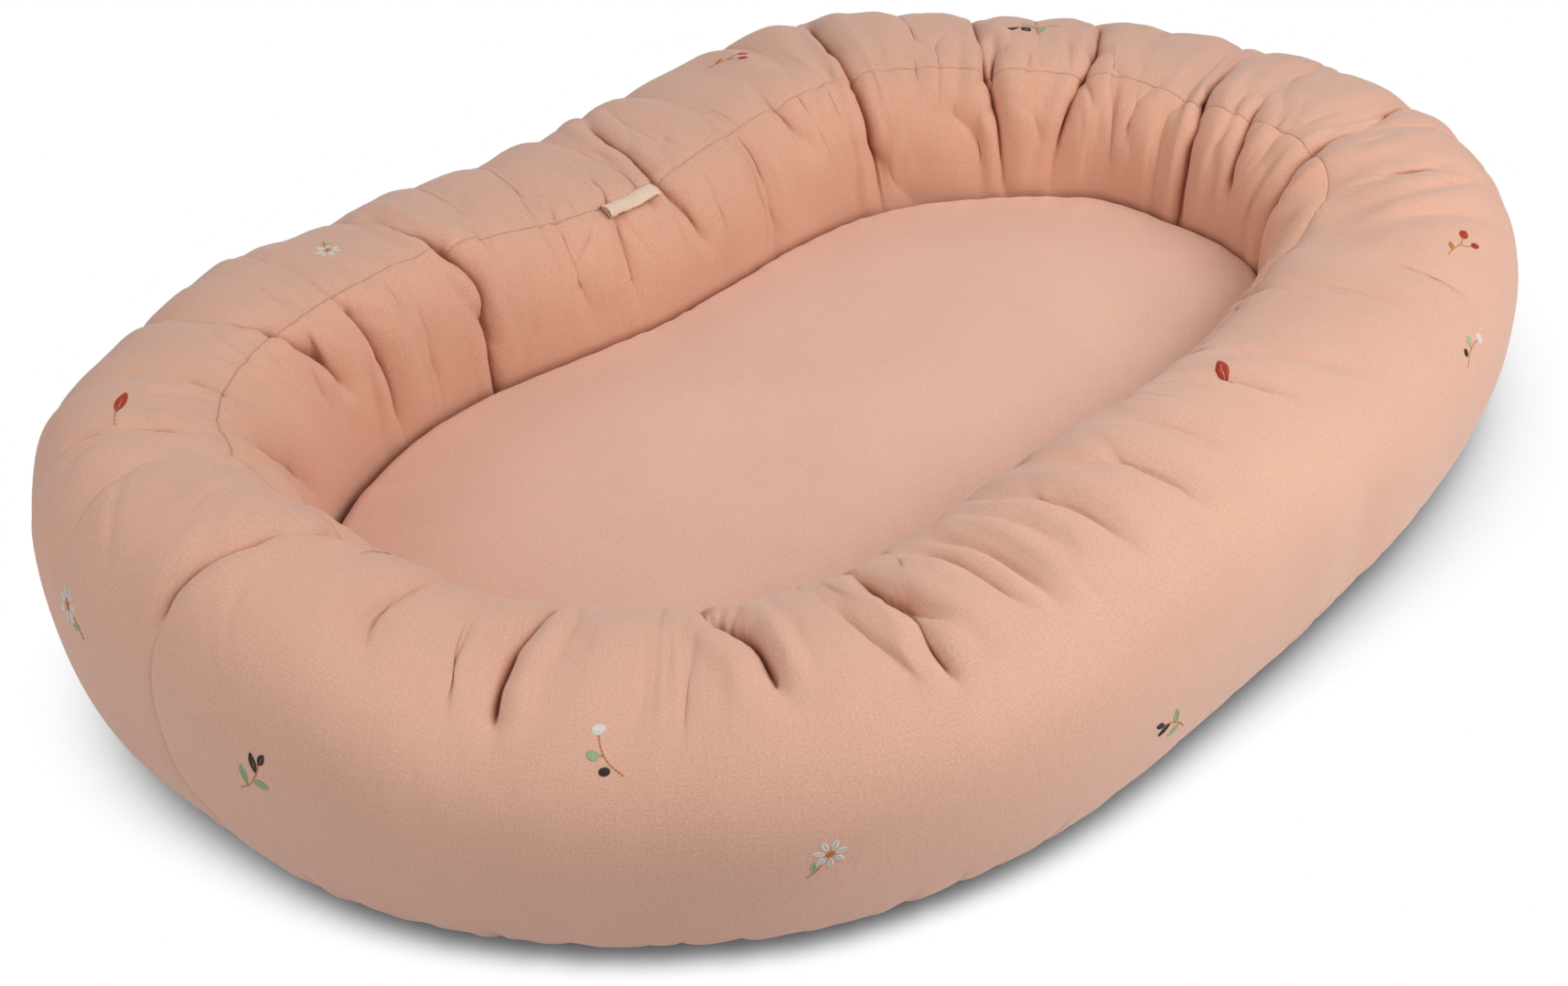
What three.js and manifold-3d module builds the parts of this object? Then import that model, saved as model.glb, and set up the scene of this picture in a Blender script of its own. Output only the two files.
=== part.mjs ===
// A padded baby nest: a stuffed bumper sewn round a flat base, with a loose oval mattress in it.
// Millimetres, +Z up. The origin is on the floor under the middle of the nest, +X is its long axis.

import * as THREE from 'three';
import { mergeVertices } from 'three/addons/utils/BufferGeometryUtils.js';
import Module from 'manifold-3d';

const wasm = await Module();
wasm.setup();

// Driving dimensions of the nest
const NEST_LENGTH = 900;
const NEST_WIDTH = 612;
const BUMPER_WIDTH = 143;
const BUMPER_HEIGHT = 145;
const CLOTH = 1.2;
const GAP = 0.3;
const BASE_THICK = 1.5;
const LIFT_CLEARANCE = 2.5;
const SEAM_GAP = 0.6;
const SEAM_DIP = 3;
const FOLD_HALF_WIDTH = 12;
const WIDEST_COLUMN = 64;
const NARROWEST_COLUMN = 2;
const OVERRUN = 1;

// Shape of the plan and of the tube: exponents of their rounded outlines, and the flat underside
const PLAN_SQUARENESS = 2.5;
const TUBE_SQUARENESS = 2.5;
const OUTER_FLAT_SHARE = 0.35;
const INNER_FLAT_SHARE = 0.8;
const BASE_EDGE_SHARE = 0.42;

// The tube's section is read in turns: 0 on its outer side, a quarter on top, a half on its inner side
const SEAM_TURN_SHARE = 0.335;
const OUTER_HEM_TURN_SHARE = -0.25;
const INNER_HEM_TURN_SHARE = 0.75;
const OUTER_TURN_SHARES = [0.285, 0.215, 0.145, 0.075, 0, -0.12];
const INNER_TURN_SHARES = [0.39, 0.44, 0.51, 0.61];

// Twelve places round the bumper, counterclockwise from the +X end. Sway is how far the tube's
// middle stands out from the plain oval, as a share of the tube's width.
const STATION_SHARES = [
  { sway: -0.04, height: 0.91, width: 1.12 },
  { sway: -0.19, height: 0.96, width: 0.9 },
  { sway: 0.06, height: 1.02, width: 1.06 },
  { sway: -0.06, height: 0.93, width: 1 },
  { sway: 0.03, height: 1.07, width: 0.86 },
  { sway: -0.08, height: 1.2, width: 0.89 },
  { sway: -0.27, height: 1.22, width: 0.82 },
  { sway: -0.31, height: 0.96, width: 0.98 },
  { sway: 0.04, height: 0.95, width: 1.04 },
  { sway: 0.1, height: 1.04, width: 1.04 },
  { sway: 0.05, height: 0.92, width: 1.01 },
  { sway: 0.08, height: 0.94, width: 1.06 },
];

// Folds that cross the seam or gather the inner wall: where each lies round the loop, how deep it
// is as a share of the tube's height, and the stretch of the section that it crosses, in turns.
const WALL_SPAN_SHARES = [0.31, 0.68];
const CROWN_SPAN_SHARES = [0.16, 0.45];
const SHORT_SPAN_SHARES = [0.4, 0.66];
const JOIN_SPAN_SHARES = [-0.1, 0.66];
const FOLD_SHARES = [
  { place: 0.003, depth: 0.1, span: WALL_SPAN_SHARES },
  { place: 0.072, depth: 0.08, span: WALL_SPAN_SHARES },
  { place: 0.097, depth: 0.09, span: WALL_SPAN_SHARES },
  { place: 0.152, depth: 0.1, span: WALL_SPAN_SHARES },
  { place: 0.209, depth: 0.06, span: WALL_SPAN_SHARES },
  { place: 0.2375, depth: 0.07, span: CROWN_SPAN_SHARES },
  { place: 0.305, depth: 0.1, span: WALL_SPAN_SHARES },
  { place: 0.345, depth: 0.06, span: WALL_SPAN_SHARES },
  { place: 0.373, depth: 0.06, span: WALL_SPAN_SHARES },
  { place: 0.42, depth: 0.06, span: SHORT_SPAN_SHARES },
  { place: 0.5, depth: 0.06, span: JOIN_SPAN_SHARES },
  { place: 0.5435, depth: 0.05, span: CROWN_SPAN_SHARES },
  { place: 0.587, depth: 0.09, span: CROWN_SPAN_SHARES },
  { place: 0.6455, depth: 0.09, span: CROWN_SPAN_SHARES },
  { place: 0.6775, depth: 0.07, span: CROWN_SPAN_SHARES },
  { place: 0.7015, depth: 0.05, span: CROWN_SPAN_SHARES },
  { place: 0.744, depth: 0.05, span: CROWN_SPAN_SHARES },
  { place: 0.817, depth: 0.04, span: CROWN_SPAN_SHARES },
  { place: 0.9, depth: 0.08, span: WALL_SPAN_SHARES },
  { place: 0.935, depth: 0.09, span: WALL_SPAN_SHARES },
  { place: 0.9775, depth: 0.08, span: WALL_SPAN_SHARES },
];

// Driving dimensions of the mattress
const MATTRESS_EDGE = 46;
const MATTRESS_CROWN = 12;
const TOP_ROUND = 20;
const UNDER_ROUND = 10;
const UNDER_INSET = 5;
const MATTRESS_COLUMNS = 48;
const WELL_STEPS = 240;
const ARC_STEPS = 2;
const CROWN_RING_SHARES = [0.72, 0.36];

// Driving dimensions of the blank label, a loop of tape whose long edge is held in the seam
const LABEL_PLACE_SHARE = 0.2375;
const LABEL_LENGTH = 38;
const LABEL_DROP = 11;
const LABEL_TAPE = 0.5;
const LABEL_LOOP = 1.4;

// Driving dimensions of the mattress zip
const SLOT_SETBACK = 87;
const SLOT_WIDTH = 18;
const TAPE_WIDTH = 13;
const TAPE_THICK = 0.7;
const TAPE_END = 8;
const COIL_WIDTH = 3;
const COIL_HEIGHT = 2;
const COIL_SPLIT = 1.2;
const COIL_CHAMFER = 0.5;
const COIL_SETBACK = 30;
const STOP_LENGTH = 3;
const STOP_RISE = 0.4;
const END_PLAY = 5;
const SLIDER_LENGTH = 10;
const SLIDER_PLATE = 1;
const SLIDER_WALL = 1;
const SLIDER_POST = 0.7;
const SLIDER_POST_LENGTH = 4;
const BAIL_BAR = 0.9;
const BAIL_WIDTH = 2;
const PULL_THICK = 0.9;
const PULL_LENGTH = 24;
const PULL_WIDTH = 5.4;
const PULL_RIM = 1.2;
const PULL_EYE_LENGTH = 4.5;
const ZIP_RECESS = 2;
const CHANNEL_CLEARANCE = 1;

// Colours and finishes
const cotton = { color: 0xe2b69b, roughness: 0.92 };
const looks = {
  cotton: new THREE.MeshStandardMaterial(cotton),
  lining: new THREE.MeshStandardMaterial({ color: 0xdcae92, roughness: 0.93 }),
  fibre: new THREE.MeshStandardMaterial({ color: 0xf1eee8, roughness: 0.97 }),
  label: new THREE.MeshStandardMaterial({ color: 0xf3efe6, roughness: 0.6 }),
  tape: new THREE.MeshStandardMaterial({ color: 0xdfb094, roughness: 0.85 }),
  coil: new THREE.MeshStandardMaterial({ color: 0xd9aa90, roughness: 0.45 }),
  metal: new THREE.MeshStandardMaterial({ color: 0xb9bbbd, roughness: 0.35, metalness: 0.9 }),
};

// Levels, from the floor up
const TUBE_FLOOR = BASE_THICK + GAP;
const MATTRESS_FLOOR = TUBE_FLOOR + CLOTH + GAP;
const CORE_FLOOR = MATTRESS_FLOOR + CLOTH + GAP;
const FILLING_DEPTH = CLOTH + GAP;

const TURN = 2 * Math.PI;
const signedPower = (value, exponent) => Math.sign(value) * Math.abs(value) ** exponent;
const clamp01 = (value) => Math.min(1, Math.max(0, value));

// The plain oval that the middle of the tube follows
class Oval extends THREE.Curve {
  constructor(halfLength, halfWidth) {
    super();
    this.halfLength = halfLength;
    this.halfWidth = halfWidth;
    this.arcLengthDivisions = 1440;
  }

  getPoint(share) {
    const exponent = 2 / PLAN_SQUARENESS;
    const x = this.halfLength * signedPower(Math.cos(TURN * share), exponent);
    const y = this.halfWidth * signedPower(Math.sin(TURN * share), exponent);
    return new THREE.Vector3(x, y, 0);
  }
}

const oval = new Oval((NEST_LENGTH - BUMPER_WIDTH) / 2, (NEST_WIDTH - BUMPER_WIDTH) / 2);
const ovalLength = oval.getLength();

// Places of the tube's columns: both sides and the bottom of each fold, both ends of the label,
// and fillers wherever two of them would stand too far apart. Of two that all but meet, one stays.
function columnPlaces() {
  const half = FOLD_HALF_WIDTH / ovalLength;
  const labelStart = LABEL_PLACE_SHARE + half;
  const places = [labelStart + LABEL_LENGTH / ovalLength];
  for (const fold of FOLD_SHARES) {
    places.push(fold.place - half, fold.place, fold.place + half);
  }
  const sorted = places.map((place) => (place + 1) % 1).sort((a, b) => a - b);
  const kept = sorted.filter((place, i) => {
    const before = i > 0 ? sorted[i - 1] : sorted[sorted.length - 1] - 1;
    return (place - before) * ovalLength > NARROWEST_COLUMN;
  });
  const filled = [];
  kept.forEach((place, i) => {
    const next = i + 1 < kept.length ? kept[i + 1] : kept[0] + 1;
    const pieces = Math.ceil(((next - place) * ovalLength) / WIDEST_COLUMN);
    for (let j = 0; j < pieces; j += 1) {
      filled.push((place + ((next - place) * j) / pieces) % 1);
    }
  });
  return filled;
}

const columns = columnPlaces();

// The loop that the tube's middle really follows, swaying off the oval, made to the nest's outside
// length and width. A place on it is a share of the way round.
class Loop {
  constructor() {
    const stations = STATION_SHARES.map((s) => new THREE.Vector3(s.sway, s.height, s.width));
    this.stations = new THREE.CatmullRomCurve3(stations, true, 'catmullrom', 0.5);
    this.scale = new THREE.Vector3(1, 1, 1);
    this.shift = new THREE.Vector3();
    const [middle, outside] = this.boxes();
    const wanted = new THREE.Vector3(NEST_LENGTH, NEST_WIDTH, 0);
    const inside = middle.getSize(new THREE.Vector3());
    const margin = outside.getSize(new THREE.Vector3()).sub(inside);
    this.scale.x = (wanted.x - margin.x) / inside.x;
    this.scale.y = (wanted.y - margin.y) / inside.y;
    this.boxes()[1].getCenter(this.shift);
  }

  // The boxes round the tube's middle line and round its outer side
  boxes() {
    const middle = new THREE.Box3();
    const outside = new THREE.Box3();
    for (const place of columns) {
      middle.expandByPoint(this.middle(place));
      outside.expandByPoint(this.beside(place, this.halfWidth(place), 0));
    }
    return [middle, outside];
  }

  station(place) {
    return this.stations.getPoint(((place % 1) + 1) % 1);
  }

  halfWidth(place) {
    return (this.station(place).z * BUMPER_WIDTH) / 2;
  }

  height(place) {
    return this.station(place).y * BUMPER_HEIGHT;
  }

  middle(place) {
    const share = ((place % 1) + 1) % 1;
    const tangent = oval.getTangentAt(share);
    const outward = new THREE.Vector3(tangent.y, -tangent.x, 0);
    const point = oval.getPointAt(share);
    point.addScaledVector(outward, this.station(share).x * BUMPER_WIDTH);
    return point.multiply(this.scale).sub(this.shift);
  }

  outward(place) {
    const step = 1 / 720;
    const along = this.middle(place + step).sub(this.middle(place - step)).normalize();
    return new THREE.Vector3(along.y, -along.x, 0);
  }

  // A point at some distance outward from the middle line, at some height
  beside(place, distance, height) {
    const point = this.middle(place).addScaledVector(this.outward(place), distance);
    point.z = height;
    return point;
  }
}

const loop = new Loop();

// How far the folds draw the skin in at a place and a turn of the section
function foldDepth(place, turn) {
  let depth = 0;
  for (const fold of FOLD_SHARES) {
    const apart = Math.abs(place - fold.place) % 1;
    const distance = Math.min(apart, 1 - apart) * ovalLength;
    const near = clamp01(1 - distance / FOLD_HALF_WIDTH);
    const [from, to] = fold.span;
    const along = clamp01((turn - from) / (to - from));
    const swell = Math.sin(Math.PI * along);
    depth = Math.max(depth, fold.depth * BUMPER_HEIGHT * near * Math.sqrt(swell));
  }
  return depth;
}

// The tube's section before folds: distance outward from the middle line, and height
function sectionPoint(place, turn) {
  const across = Math.cos(TURN * turn);
  const up = Math.sin(TURN * turn);
  const exponent = 2 / TUBE_SQUARENESS;
  const footShare = across > 0 ? OUTER_FLAT_SHARE : INNER_FLAT_SHARE;
  const side = turn < 1 / 4 ? 1 : -1;
  const flat = up < 0 ? footShare : 0;
  const reach = side * flat + (1 - flat) * signedPower(across, exponent);
  const rise = (1 + signedPower(up, exponent)) / 2;
  const height = TUBE_FLOOR + (loop.height(place) - TUBE_FLOOR) * rise;
  return new THREE.Vector2(loop.halfWidth(place) * reach, height);
}

// The way out of the section, square to its outline
function sectionNormal(place, turn) {
  const step = 1 / 360;
  const from = Math.max(turn - step, OUTER_HEM_TURN_SHARE);
  const to = Math.min(turn + step, INNER_HEM_TURN_SHARE);
  const along = sectionPoint(place, to).sub(sectionPoint(place, from)).normalize();
  return new THREE.Vector2(along.y, -along.x);
}

// A point under the folded skin, depth below it
function skinPoint(place, turn, depth) {
  const drawnIn = foldDepth(place, turn) + (turn === SEAM_TURN_SHARE ? SEAM_DIP : 0);
  const point = sectionPoint(place, turn);
  point.addScaledVector(sectionNormal(place, turn), -depth - drawnIn);
  return loop.beside(place, point.x, point.y);
}

// A point on the long seam, moved along the section by half of the seam's gap to either panel
function seamPoint(place, depth, side) {
  const normal = sectionNormal(place, SEAM_TURN_SHARE);
  const drawnIn = foldDepth(place, SEAM_TURN_SHARE) + SEAM_DIP + depth;
  const point = sectionPoint(place, SEAM_TURN_SHARE).addScaledVector(normal, -drawnIn);
  point.x += (side * normal.y * SEAM_GAP) / 2;
  point.y -= (side * normal.x * SEAM_GAP) / 2;
  return loop.beside(place, point.x, point.y);
}

// Turns a closed skin of points and triangles the right way out
function closedSkin(points, triangles) {
  let volume = 0;
  for (const [a, b, c] of triangles) {
    volume += points[a].dot(points[b].clone().cross(points[c]));
  }
  const faces = volume < 0 ? triangles.map(([a, b, c]) => [a, c, b]) : triangles;
  const geometry = new THREE.BufferGeometry();
  const positions = points.flatMap((point) => point.toArray());
  geometry.setAttribute('position', new THREE.Float32BufferAttribute(positions, 3));
  geometry.setIndex(faces.flat());
  geometry.computeVertexNormals();
  return geometry;
}

// The triangles between rings of points that all have the same count. Layers that lie on each
// other are cut along the same diagonals, so a layer whose rings run backwards is cut crosswise.
function ringTriangles(ringCount, pointCount, endless, crosswise) {
  const triangles = [];
  const spans = endless ? ringCount : ringCount - 1;
  for (let i = 0; i < spans; i += 1) {
    const here = i * pointCount;
    const there = ((i + 1) % ringCount) * pointCount;
    for (let j = 0; j < pointCount; j += 1) {
      const k = (j + 1) % pointCount;
      if (crosswise(i, j)) {
        triangles.push([here + j, there + j, here + k], [there + j, there + k, here + k]);
      } else {
        triangles.push([here + j, there + j, there + k], [here + j, there + k, here + k]);
      }
    }
  }
  return triangles;
}

// A closed section carried all the way round the loop
function loopedSkin(sections, crosswise) {
  const triangles = ringTriangles(sections.length, sections[0].length, true, crosswise);
  return closedSkin(sections.flat(), triangles);
}

// Rings that close onto a point at either end
function pillowSkin(first, rings, last, crosswise) {
  const count = rings[0].length;
  const points = [...rings.flat(), first, last];
  const firstIndex = points.length - 2;
  const lastIndex = points.length - 1;
  const lastRing = (rings.length - 1) * count;
  const triangles = ringTriangles(rings.length, count, false, crosswise);
  for (let j = 0; j < count; j += 1) {
    const k = (j + 1) % count;
    triangles.push([firstIndex, j, k], [lastIndex, lastRing + k, lastRing + j]);
  }
  return closedSkin(points, triangles);
}

// A flat sheet cut to an outline of points, with holes
function sheet(outline, holes, bottom, thickness) {
  const shape = new THREE.Shape(outline.map((point) => new THREE.Vector2(point.x, point.y)));
  shape.holes.push(...holes);
  const geometry = new THREE.ExtrudeGeometry(shape, { depth: thickness, bevelEnabled: false });
  return geometry.translate(0, 0, bottom);
}

// A box by its lowest and highest corners
function block(x0, x1, y0, y1, z0, z1) {
  const geometry = new THREE.BoxGeometry(x1 - x0, y1 - y0, z1 - z0);
  return geometry.translate((x0 + x1) / 2, (y0 + y1) / 2, (z0 + z1) / 2);
}

function toSolid(geometry) {
  const bare = geometry.clone();
  bare.deleteAttribute('normal');
  bare.deleteAttribute('uv');
  const merged = mergeVertices(bare);
  const vertProperties = new Float32Array(merged.attributes.position.array);
  const triVerts = new Uint32Array(merged.index.array);
  return new wasm.Manifold(new wasm.Mesh({ numProp: 3, vertProperties, triVerts }));
}

function toGeometry(solid) {
  const mesh = solid.getMesh();
  const geometry = new THREE.BufferGeometry();
  geometry.setAttribute('position', new THREE.BufferAttribute(mesh.vertProperties, 3));
  geometry.setIndex(new THREE.BufferAttribute(mesh.triVerts, 1));
  geometry.computeVertexNormals();
  return geometry;
}

const joined = (shapes) => toGeometry(shapes.map(toSolid).reduce((a, b) => a.add(b)));

function piece(name, geometry, look) {
  const mesh = new THREE.Mesh(geometry, look);
  mesh.name = name;
  return mesh;
}

// The outer panel: from the long seam over the top and down the outside to the base
function outerPanel() {
  const turns = [...OUTER_TURN_SHARES, OUTER_HEM_TURN_SHARE];
  const sections = columns.map((place) => {
    const skin = [seamPoint(place, 0, 1), ...turns.map((turn) => skinPoint(place, turn, 0))];
    const back = [seamPoint(place, CLOTH, 1), ...turns.map((turn) => skinPoint(place, turn, CLOTH))];
    return [...skin, ...back.reverse()];
  });
  return loopedSkin(sections, (i, j) => j <= turns.length);
}

// The inner panel: the gathered wall, from the long seam down to the foot beside the mattress
function innerPanel() {
  const turns = [...INNER_TURN_SHARES, INNER_HEM_TURN_SHARE];
  const sections = columns.map((place) => {
    const skin = [seamPoint(place, 0, -1), ...turns.map((turn) => skinPoint(place, turn, 0))];
    const back = [seamPoint(place, CLOTH, -1), ...turns.map((turn) => skinPoint(place, turn, CLOTH))];
    return [...skin, ...back.reverse()];
  });
  return loopedSkin(sections, (i, j) => j > turns.length);
}

// The stuffing, which fills both panels and lies flat on the base between their hems
function fillingRing() {
  const turns = [...OUTER_TURN_SHARES].reverse();
  turns.push(SEAM_TURN_SHARE, ...INNER_TURN_SHARES);
  const sections = columns.map((place) => {
    const outerHem = loop.halfWidth(place) * OUTER_FLAT_SHARE - GAP;
    const innerHem = -loop.halfWidth(place) * INNER_FLAT_SHARE + GAP;
    const raised = TUBE_FLOOR + FILLING_DEPTH;
    return [
      loop.beside(place, outerHem, TUBE_FLOOR),
      loop.beside(place, outerHem, raised),
      ...turns.map((turn) => skinPoint(place, turn, FILLING_DEPTH)),
      loop.beside(place, innerHem, raised),
      loop.beside(place, innerHem, TUBE_FLOOR),
    ];
  });
  return loopedSkin(sections, () => false);
}

// The blank label: a folded loop that hangs from the seam over the inner wall
function sideLabel() {
  const start = LABEL_PLACE_SHARE + FOLD_HALF_WIDTH / ovalLength;
  const end = start + LABEL_LENGTH / ovalLength;
  const nearTop = seamPoint(start, 0, -1);
  const farTop = seamPoint(end, 0, -1);
  const below = INNER_TURN_SHARES[0];
  const nearFoot = skinPoint(start, below, 0);
  const farFoot = skinPoint(end, below, 0);
  const along = nearTop.clone().sub(farTop);
  const length = along.length();
  along.normalize();
  const up = nearTop.clone().add(farTop).sub(nearFoot).sub(farFoot);
  up.addScaledVector(along, -up.dot(along)).normalize();
  const out = along.clone().cross(up);
  const corners = [nearTop, farTop, nearFoot, farFoot];
  const proud = Math.max(...corners.map((corner) => corner.clone().sub(farTop).dot(out)));
  const back = proud + GAP;
  const outer = (LABEL_LOOP + 2 * LABEL_TAPE) / 2;
  const inner = LABEL_LOOP / 2;
  const bend = outer - LABEL_DROP;
  const shape = new THREE.Shape();
  shape.moveTo(0, back);
  shape.lineTo(bend, back);
  shape.absarc(bend, back + outer, outer, -TURN / 4, -(3 * TURN) / 4, true);
  shape.lineTo(0, back + 2 * outer);
  shape.lineTo(0, back + outer + inner);
  shape.lineTo(bend, back + outer + inner);
  shape.absarc(bend, back + outer, inner, TURN / 4, (3 * TURN) / 4, false);
  shape.lineTo(0, back + LABEL_TAPE);
  const options = { depth: length, bevelEnabled: false, curveSegments: 6 };
  const mesh = piece('side_label', new THREE.ExtrudeGeometry(shape, options), looks.label);
  const frame = new THREE.Matrix4().makeBasis(up, out, along);
  mesh.quaternion.setFromRotationMatrix(frame);
  mesh.position.copy(farTop);
  return mesh;
}

// How far a closed line reaches from the origin towards some angle. Where a tight bend folds the
// line over itself, the nearest crossing counts.
function reachOf(line, angle) {
  const way = new THREE.Vector2(Math.cos(angle), Math.sin(angle));
  let reach = Infinity;
  line.forEach((point, i) => {
    const next = line[(i + 1) % line.length];
    const side = way.cross(point);
    const nextSide = way.cross(next);
    if (side * nextSide <= 0 && side !== nextSide) {
      const share = side / (side - nextSide);
      const distance = way.dot(point) * (1 - share) + way.dot(next) * share;
      reach = distance > 0 ? Math.min(reach, distance) : reach;
    }
  });
  return reach;
}

// A ring of points inside the bumper, at some distance in from the mattress's side
function mattressRing(inset, height) {
  const line = [];
  for (let i = 0; i < WELL_STEPS; i += 1) {
    const place = i / WELL_STEPS;
    line.push(loop.beside(place, -loop.halfWidth(place) - LIFT_CLEARANCE - inset, 0));
  }
  const points = [];
  for (let i = 0; i < MATTRESS_COLUMNS; i += 1) {
    const turn = (TURN * i) / MATTRESS_COLUMNS;
    const angle = Math.atan2(NEST_WIDTH * Math.sin(turn), NEST_LENGTH * Math.cos(turn));
    const reach = reachOf(line, angle);
    points.push(new THREE.Vector3(reach * Math.cos(angle), reach * Math.sin(angle), height));
  }
  return points;
}

// The mattress's skin at some depth below its surface: rings from the crown to the lower edge
function mattressSkin(depth) {
  const top = MATTRESS_FLOOR + MATTRESS_EDGE;
  const shoulder = mattressRing(TOP_ROUND, top - depth);
  const crownHeight = (share) => top - depth + MATTRESS_CROWN * (1 - share * share);
  const crown = new THREE.Vector3(0, 0, crownHeight(0));
  const rings = [];
  for (const share of [...CROWN_RING_SHARES].reverse()) {
    rings.push(shoulder.map((point) => {
      const inner = point.clone().multiplyScalar(share);
      inner.z = crownHeight(share);
      return inner;
    }));
  }
  for (let i = 0; i <= ARC_STEPS; i += 1) {
    const angle = (TURN / 4) * (1 - i / ARC_STEPS);
    const radius = TOP_ROUND - depth;
    const inset = TOP_ROUND - radius * Math.cos(angle);
    rings.push(mattressRing(inset, top - TOP_ROUND + radius * Math.sin(angle)));
  }
  for (let i = 0; i <= ARC_STEPS; i += 1) {
    const angle = ((TURN / 4) * i) / ARC_STEPS;
    const inset = depth + UNDER_INSET * (1 - Math.cos(angle));
    rings.push(mattressRing(inset, CORE_FLOOR + UNDER_ROUND * (1 - Math.sin(angle))));
  }
  return { crown, rings };
}

// The top panel: a cloth dome with its side, open underneath
function mattressTopPanel() {
  const outer = mattressSkin(0);
  const inner = mattressSkin(CLOTH);
  const rings = [...outer.rings, ...inner.rings.reverse()];
  return pillowSkin(outer.crown, rings, inner.crown, (i) => i >= outer.rings.length);
}

// Zip levels, from the mattress's underside up
const BAIL_BOTTOM = MATTRESS_FLOOR + ZIP_RECESS;
const PULL_BOTTOM = BAIL_BOTTOM + BAIL_BAR + GAP;
const LOWER_PLATE_BOTTOM = PULL_BOTTOM + PULL_THICK + GAP;
const LOWER_PLATE_TOP = LOWER_PLATE_BOTTOM + SLIDER_PLATE;
const TAPE_BOTTOM = LOWER_PLATE_TOP + GAP;
const TAPE_TOP = TAPE_BOTTOM + TAPE_THICK;
const COIL_BOTTOM = TAPE_TOP + GAP;
const COIL_TOP = COIL_BOTTOM + COIL_HEIGHT;
const UPPER_PLATE_BOTTOM = COIL_TOP + GAP;
const UPPER_PLATE_TOP = UPPER_PLATE_BOTTOM + SLIDER_PLATE;
const LIP_TOP = TAPE_BOTTOM - GAP;
const SLOT_LENGTH = NEST_LENGTH - 2 * (BUMPER_WIDTH + SLOT_SETBACK);
const COIL_LENGTH = SLOT_LENGTH - 2 * COIL_SETBACK;
const COIL_INNER = COIL_SPLIT / 2;
const COIL_OUTER = COIL_INNER + COIL_WIDTH;
const SLIDER_HALF_WIDTH = COIL_OUTER + GAP + SLIDER_WALL;
const TAPE_INNER = COIL_INNER + GAP;
const TAPE_HALF_LENGTH = SLOT_LENGTH / 2 + TAPE_END;
const CHANNEL_HALF_LENGTH = TAPE_HALF_LENGTH + CHANNEL_CLEARANCE;
const CHANNEL_HALF_WIDTH = TAPE_INNER + TAPE_WIDTH + CHANNEL_CLEARANCE;
const ZIP_RUN = COIL_LENGTH - SLIDER_LENGTH - 2 * END_PLAY;

// The stuffing of the mattress, with a channel underneath for the zip
function mattressCore() {
  const { crown, rings } = mattressSkin(FILLING_DEPTH);
  const foot = new THREE.Vector3(0, 0, CORE_FLOOR);
  const pad = toSolid(pillowSkin(crown, rings, foot, () => false));
  const channelTop = UPPER_PLATE_TOP + CHANNEL_CLEARANCE;
  const channel = toSolid(block(
    -CHANNEL_HALF_LENGTH, CHANNEL_HALF_LENGTH,
    -CHANNEL_HALF_WIDTH, CHANNEL_HALF_WIDTH,
    CORE_FLOOR - OVERRUN, channelTop,
  ));
  return toGeometry(pad.subtract(channel));
}

function slotPath(grow) {
  const x = SLOT_LENGTH / 2 + grow;
  const y = SLOT_WIDTH / 2 + grow;
  const corners = [[-x, -y], [x, -y], [x, y], [-x, y]];
  return new THREE.Path(corners.map(([cornerX, cornerY]) => new THREE.Vector2(cornerX, cornerY)));
}

// The bottom panel: a flat sheet with a slot whose turned-up edges carry the zip's tapes
function mattressBottomPanel() {
  const flat = sheet(mattressRing(UNDER_INSET, 0), [slotPath(0)], MATTRESS_FLOOR, CLOTH);
  const rim = slotPath(CLOTH).getPoints();
  const lip = sheet(rim, [slotPath(0)], MATTRESS_FLOOR, LIP_TOP - MATTRESS_FLOOR);
  return joined([flat, lip]);
}

function zipTape(side) {
  const near = side * TAPE_INNER;
  const far = side * (TAPE_INNER + TAPE_WIDTH);
  return block(
    -TAPE_HALF_LENGTH, TAPE_HALF_LENGTH,
    Math.min(near, far), Math.max(near, far),
    TAPE_BOTTOM, TAPE_TOP,
  );
}

// One row of coil: a low bar with rounded upper edges
function zipCoil(side) {
  const shape = new THREE.Shape();
  shape.moveTo(side * COIL_INNER, COIL_BOTTOM);
  shape.lineTo(side * COIL_OUTER, COIL_BOTTOM);
  shape.lineTo(side * COIL_OUTER, COIL_TOP - COIL_CHAMFER);
  shape.lineTo(side * (COIL_OUTER - COIL_CHAMFER), COIL_TOP);
  shape.lineTo(side * (COIL_INNER + COIL_CHAMFER), COIL_TOP);
  shape.lineTo(side * COIL_INNER, COIL_TOP - COIL_CHAMFER);
  const geometry = new THREE.ExtrudeGeometry(shape, { depth: COIL_LENGTH, bevelEnabled: false });
  geometry.translate(0, 0, -COIL_LENGTH / 2);
  return geometry.rotateX(TURN / 4).rotateZ(TURN / 4);
}

// The clamp across both rows where the open zip ends
function zipBottomStop() {
  const end = -COIL_LENGTH / 2 - GAP;
  return block(
    end - STOP_LENGTH, end,
    -COIL_OUTER, COIL_OUTER,
    COIL_BOTTOM, COIL_TOP + STOP_RISE,
  );
}

// The clamp on one row where the closed zip ends
function zipTopStop(side) {
  const end = COIL_LENGTH / 2 + GAP;
  const near = side * COIL_INNER;
  const far = side * COIL_OUTER;
  return block(
    end, end + STOP_LENGTH,
    Math.min(near, far), Math.max(near, far),
    COIL_BOTTOM, COIL_TOP + STOP_RISE,
  );
}

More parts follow.
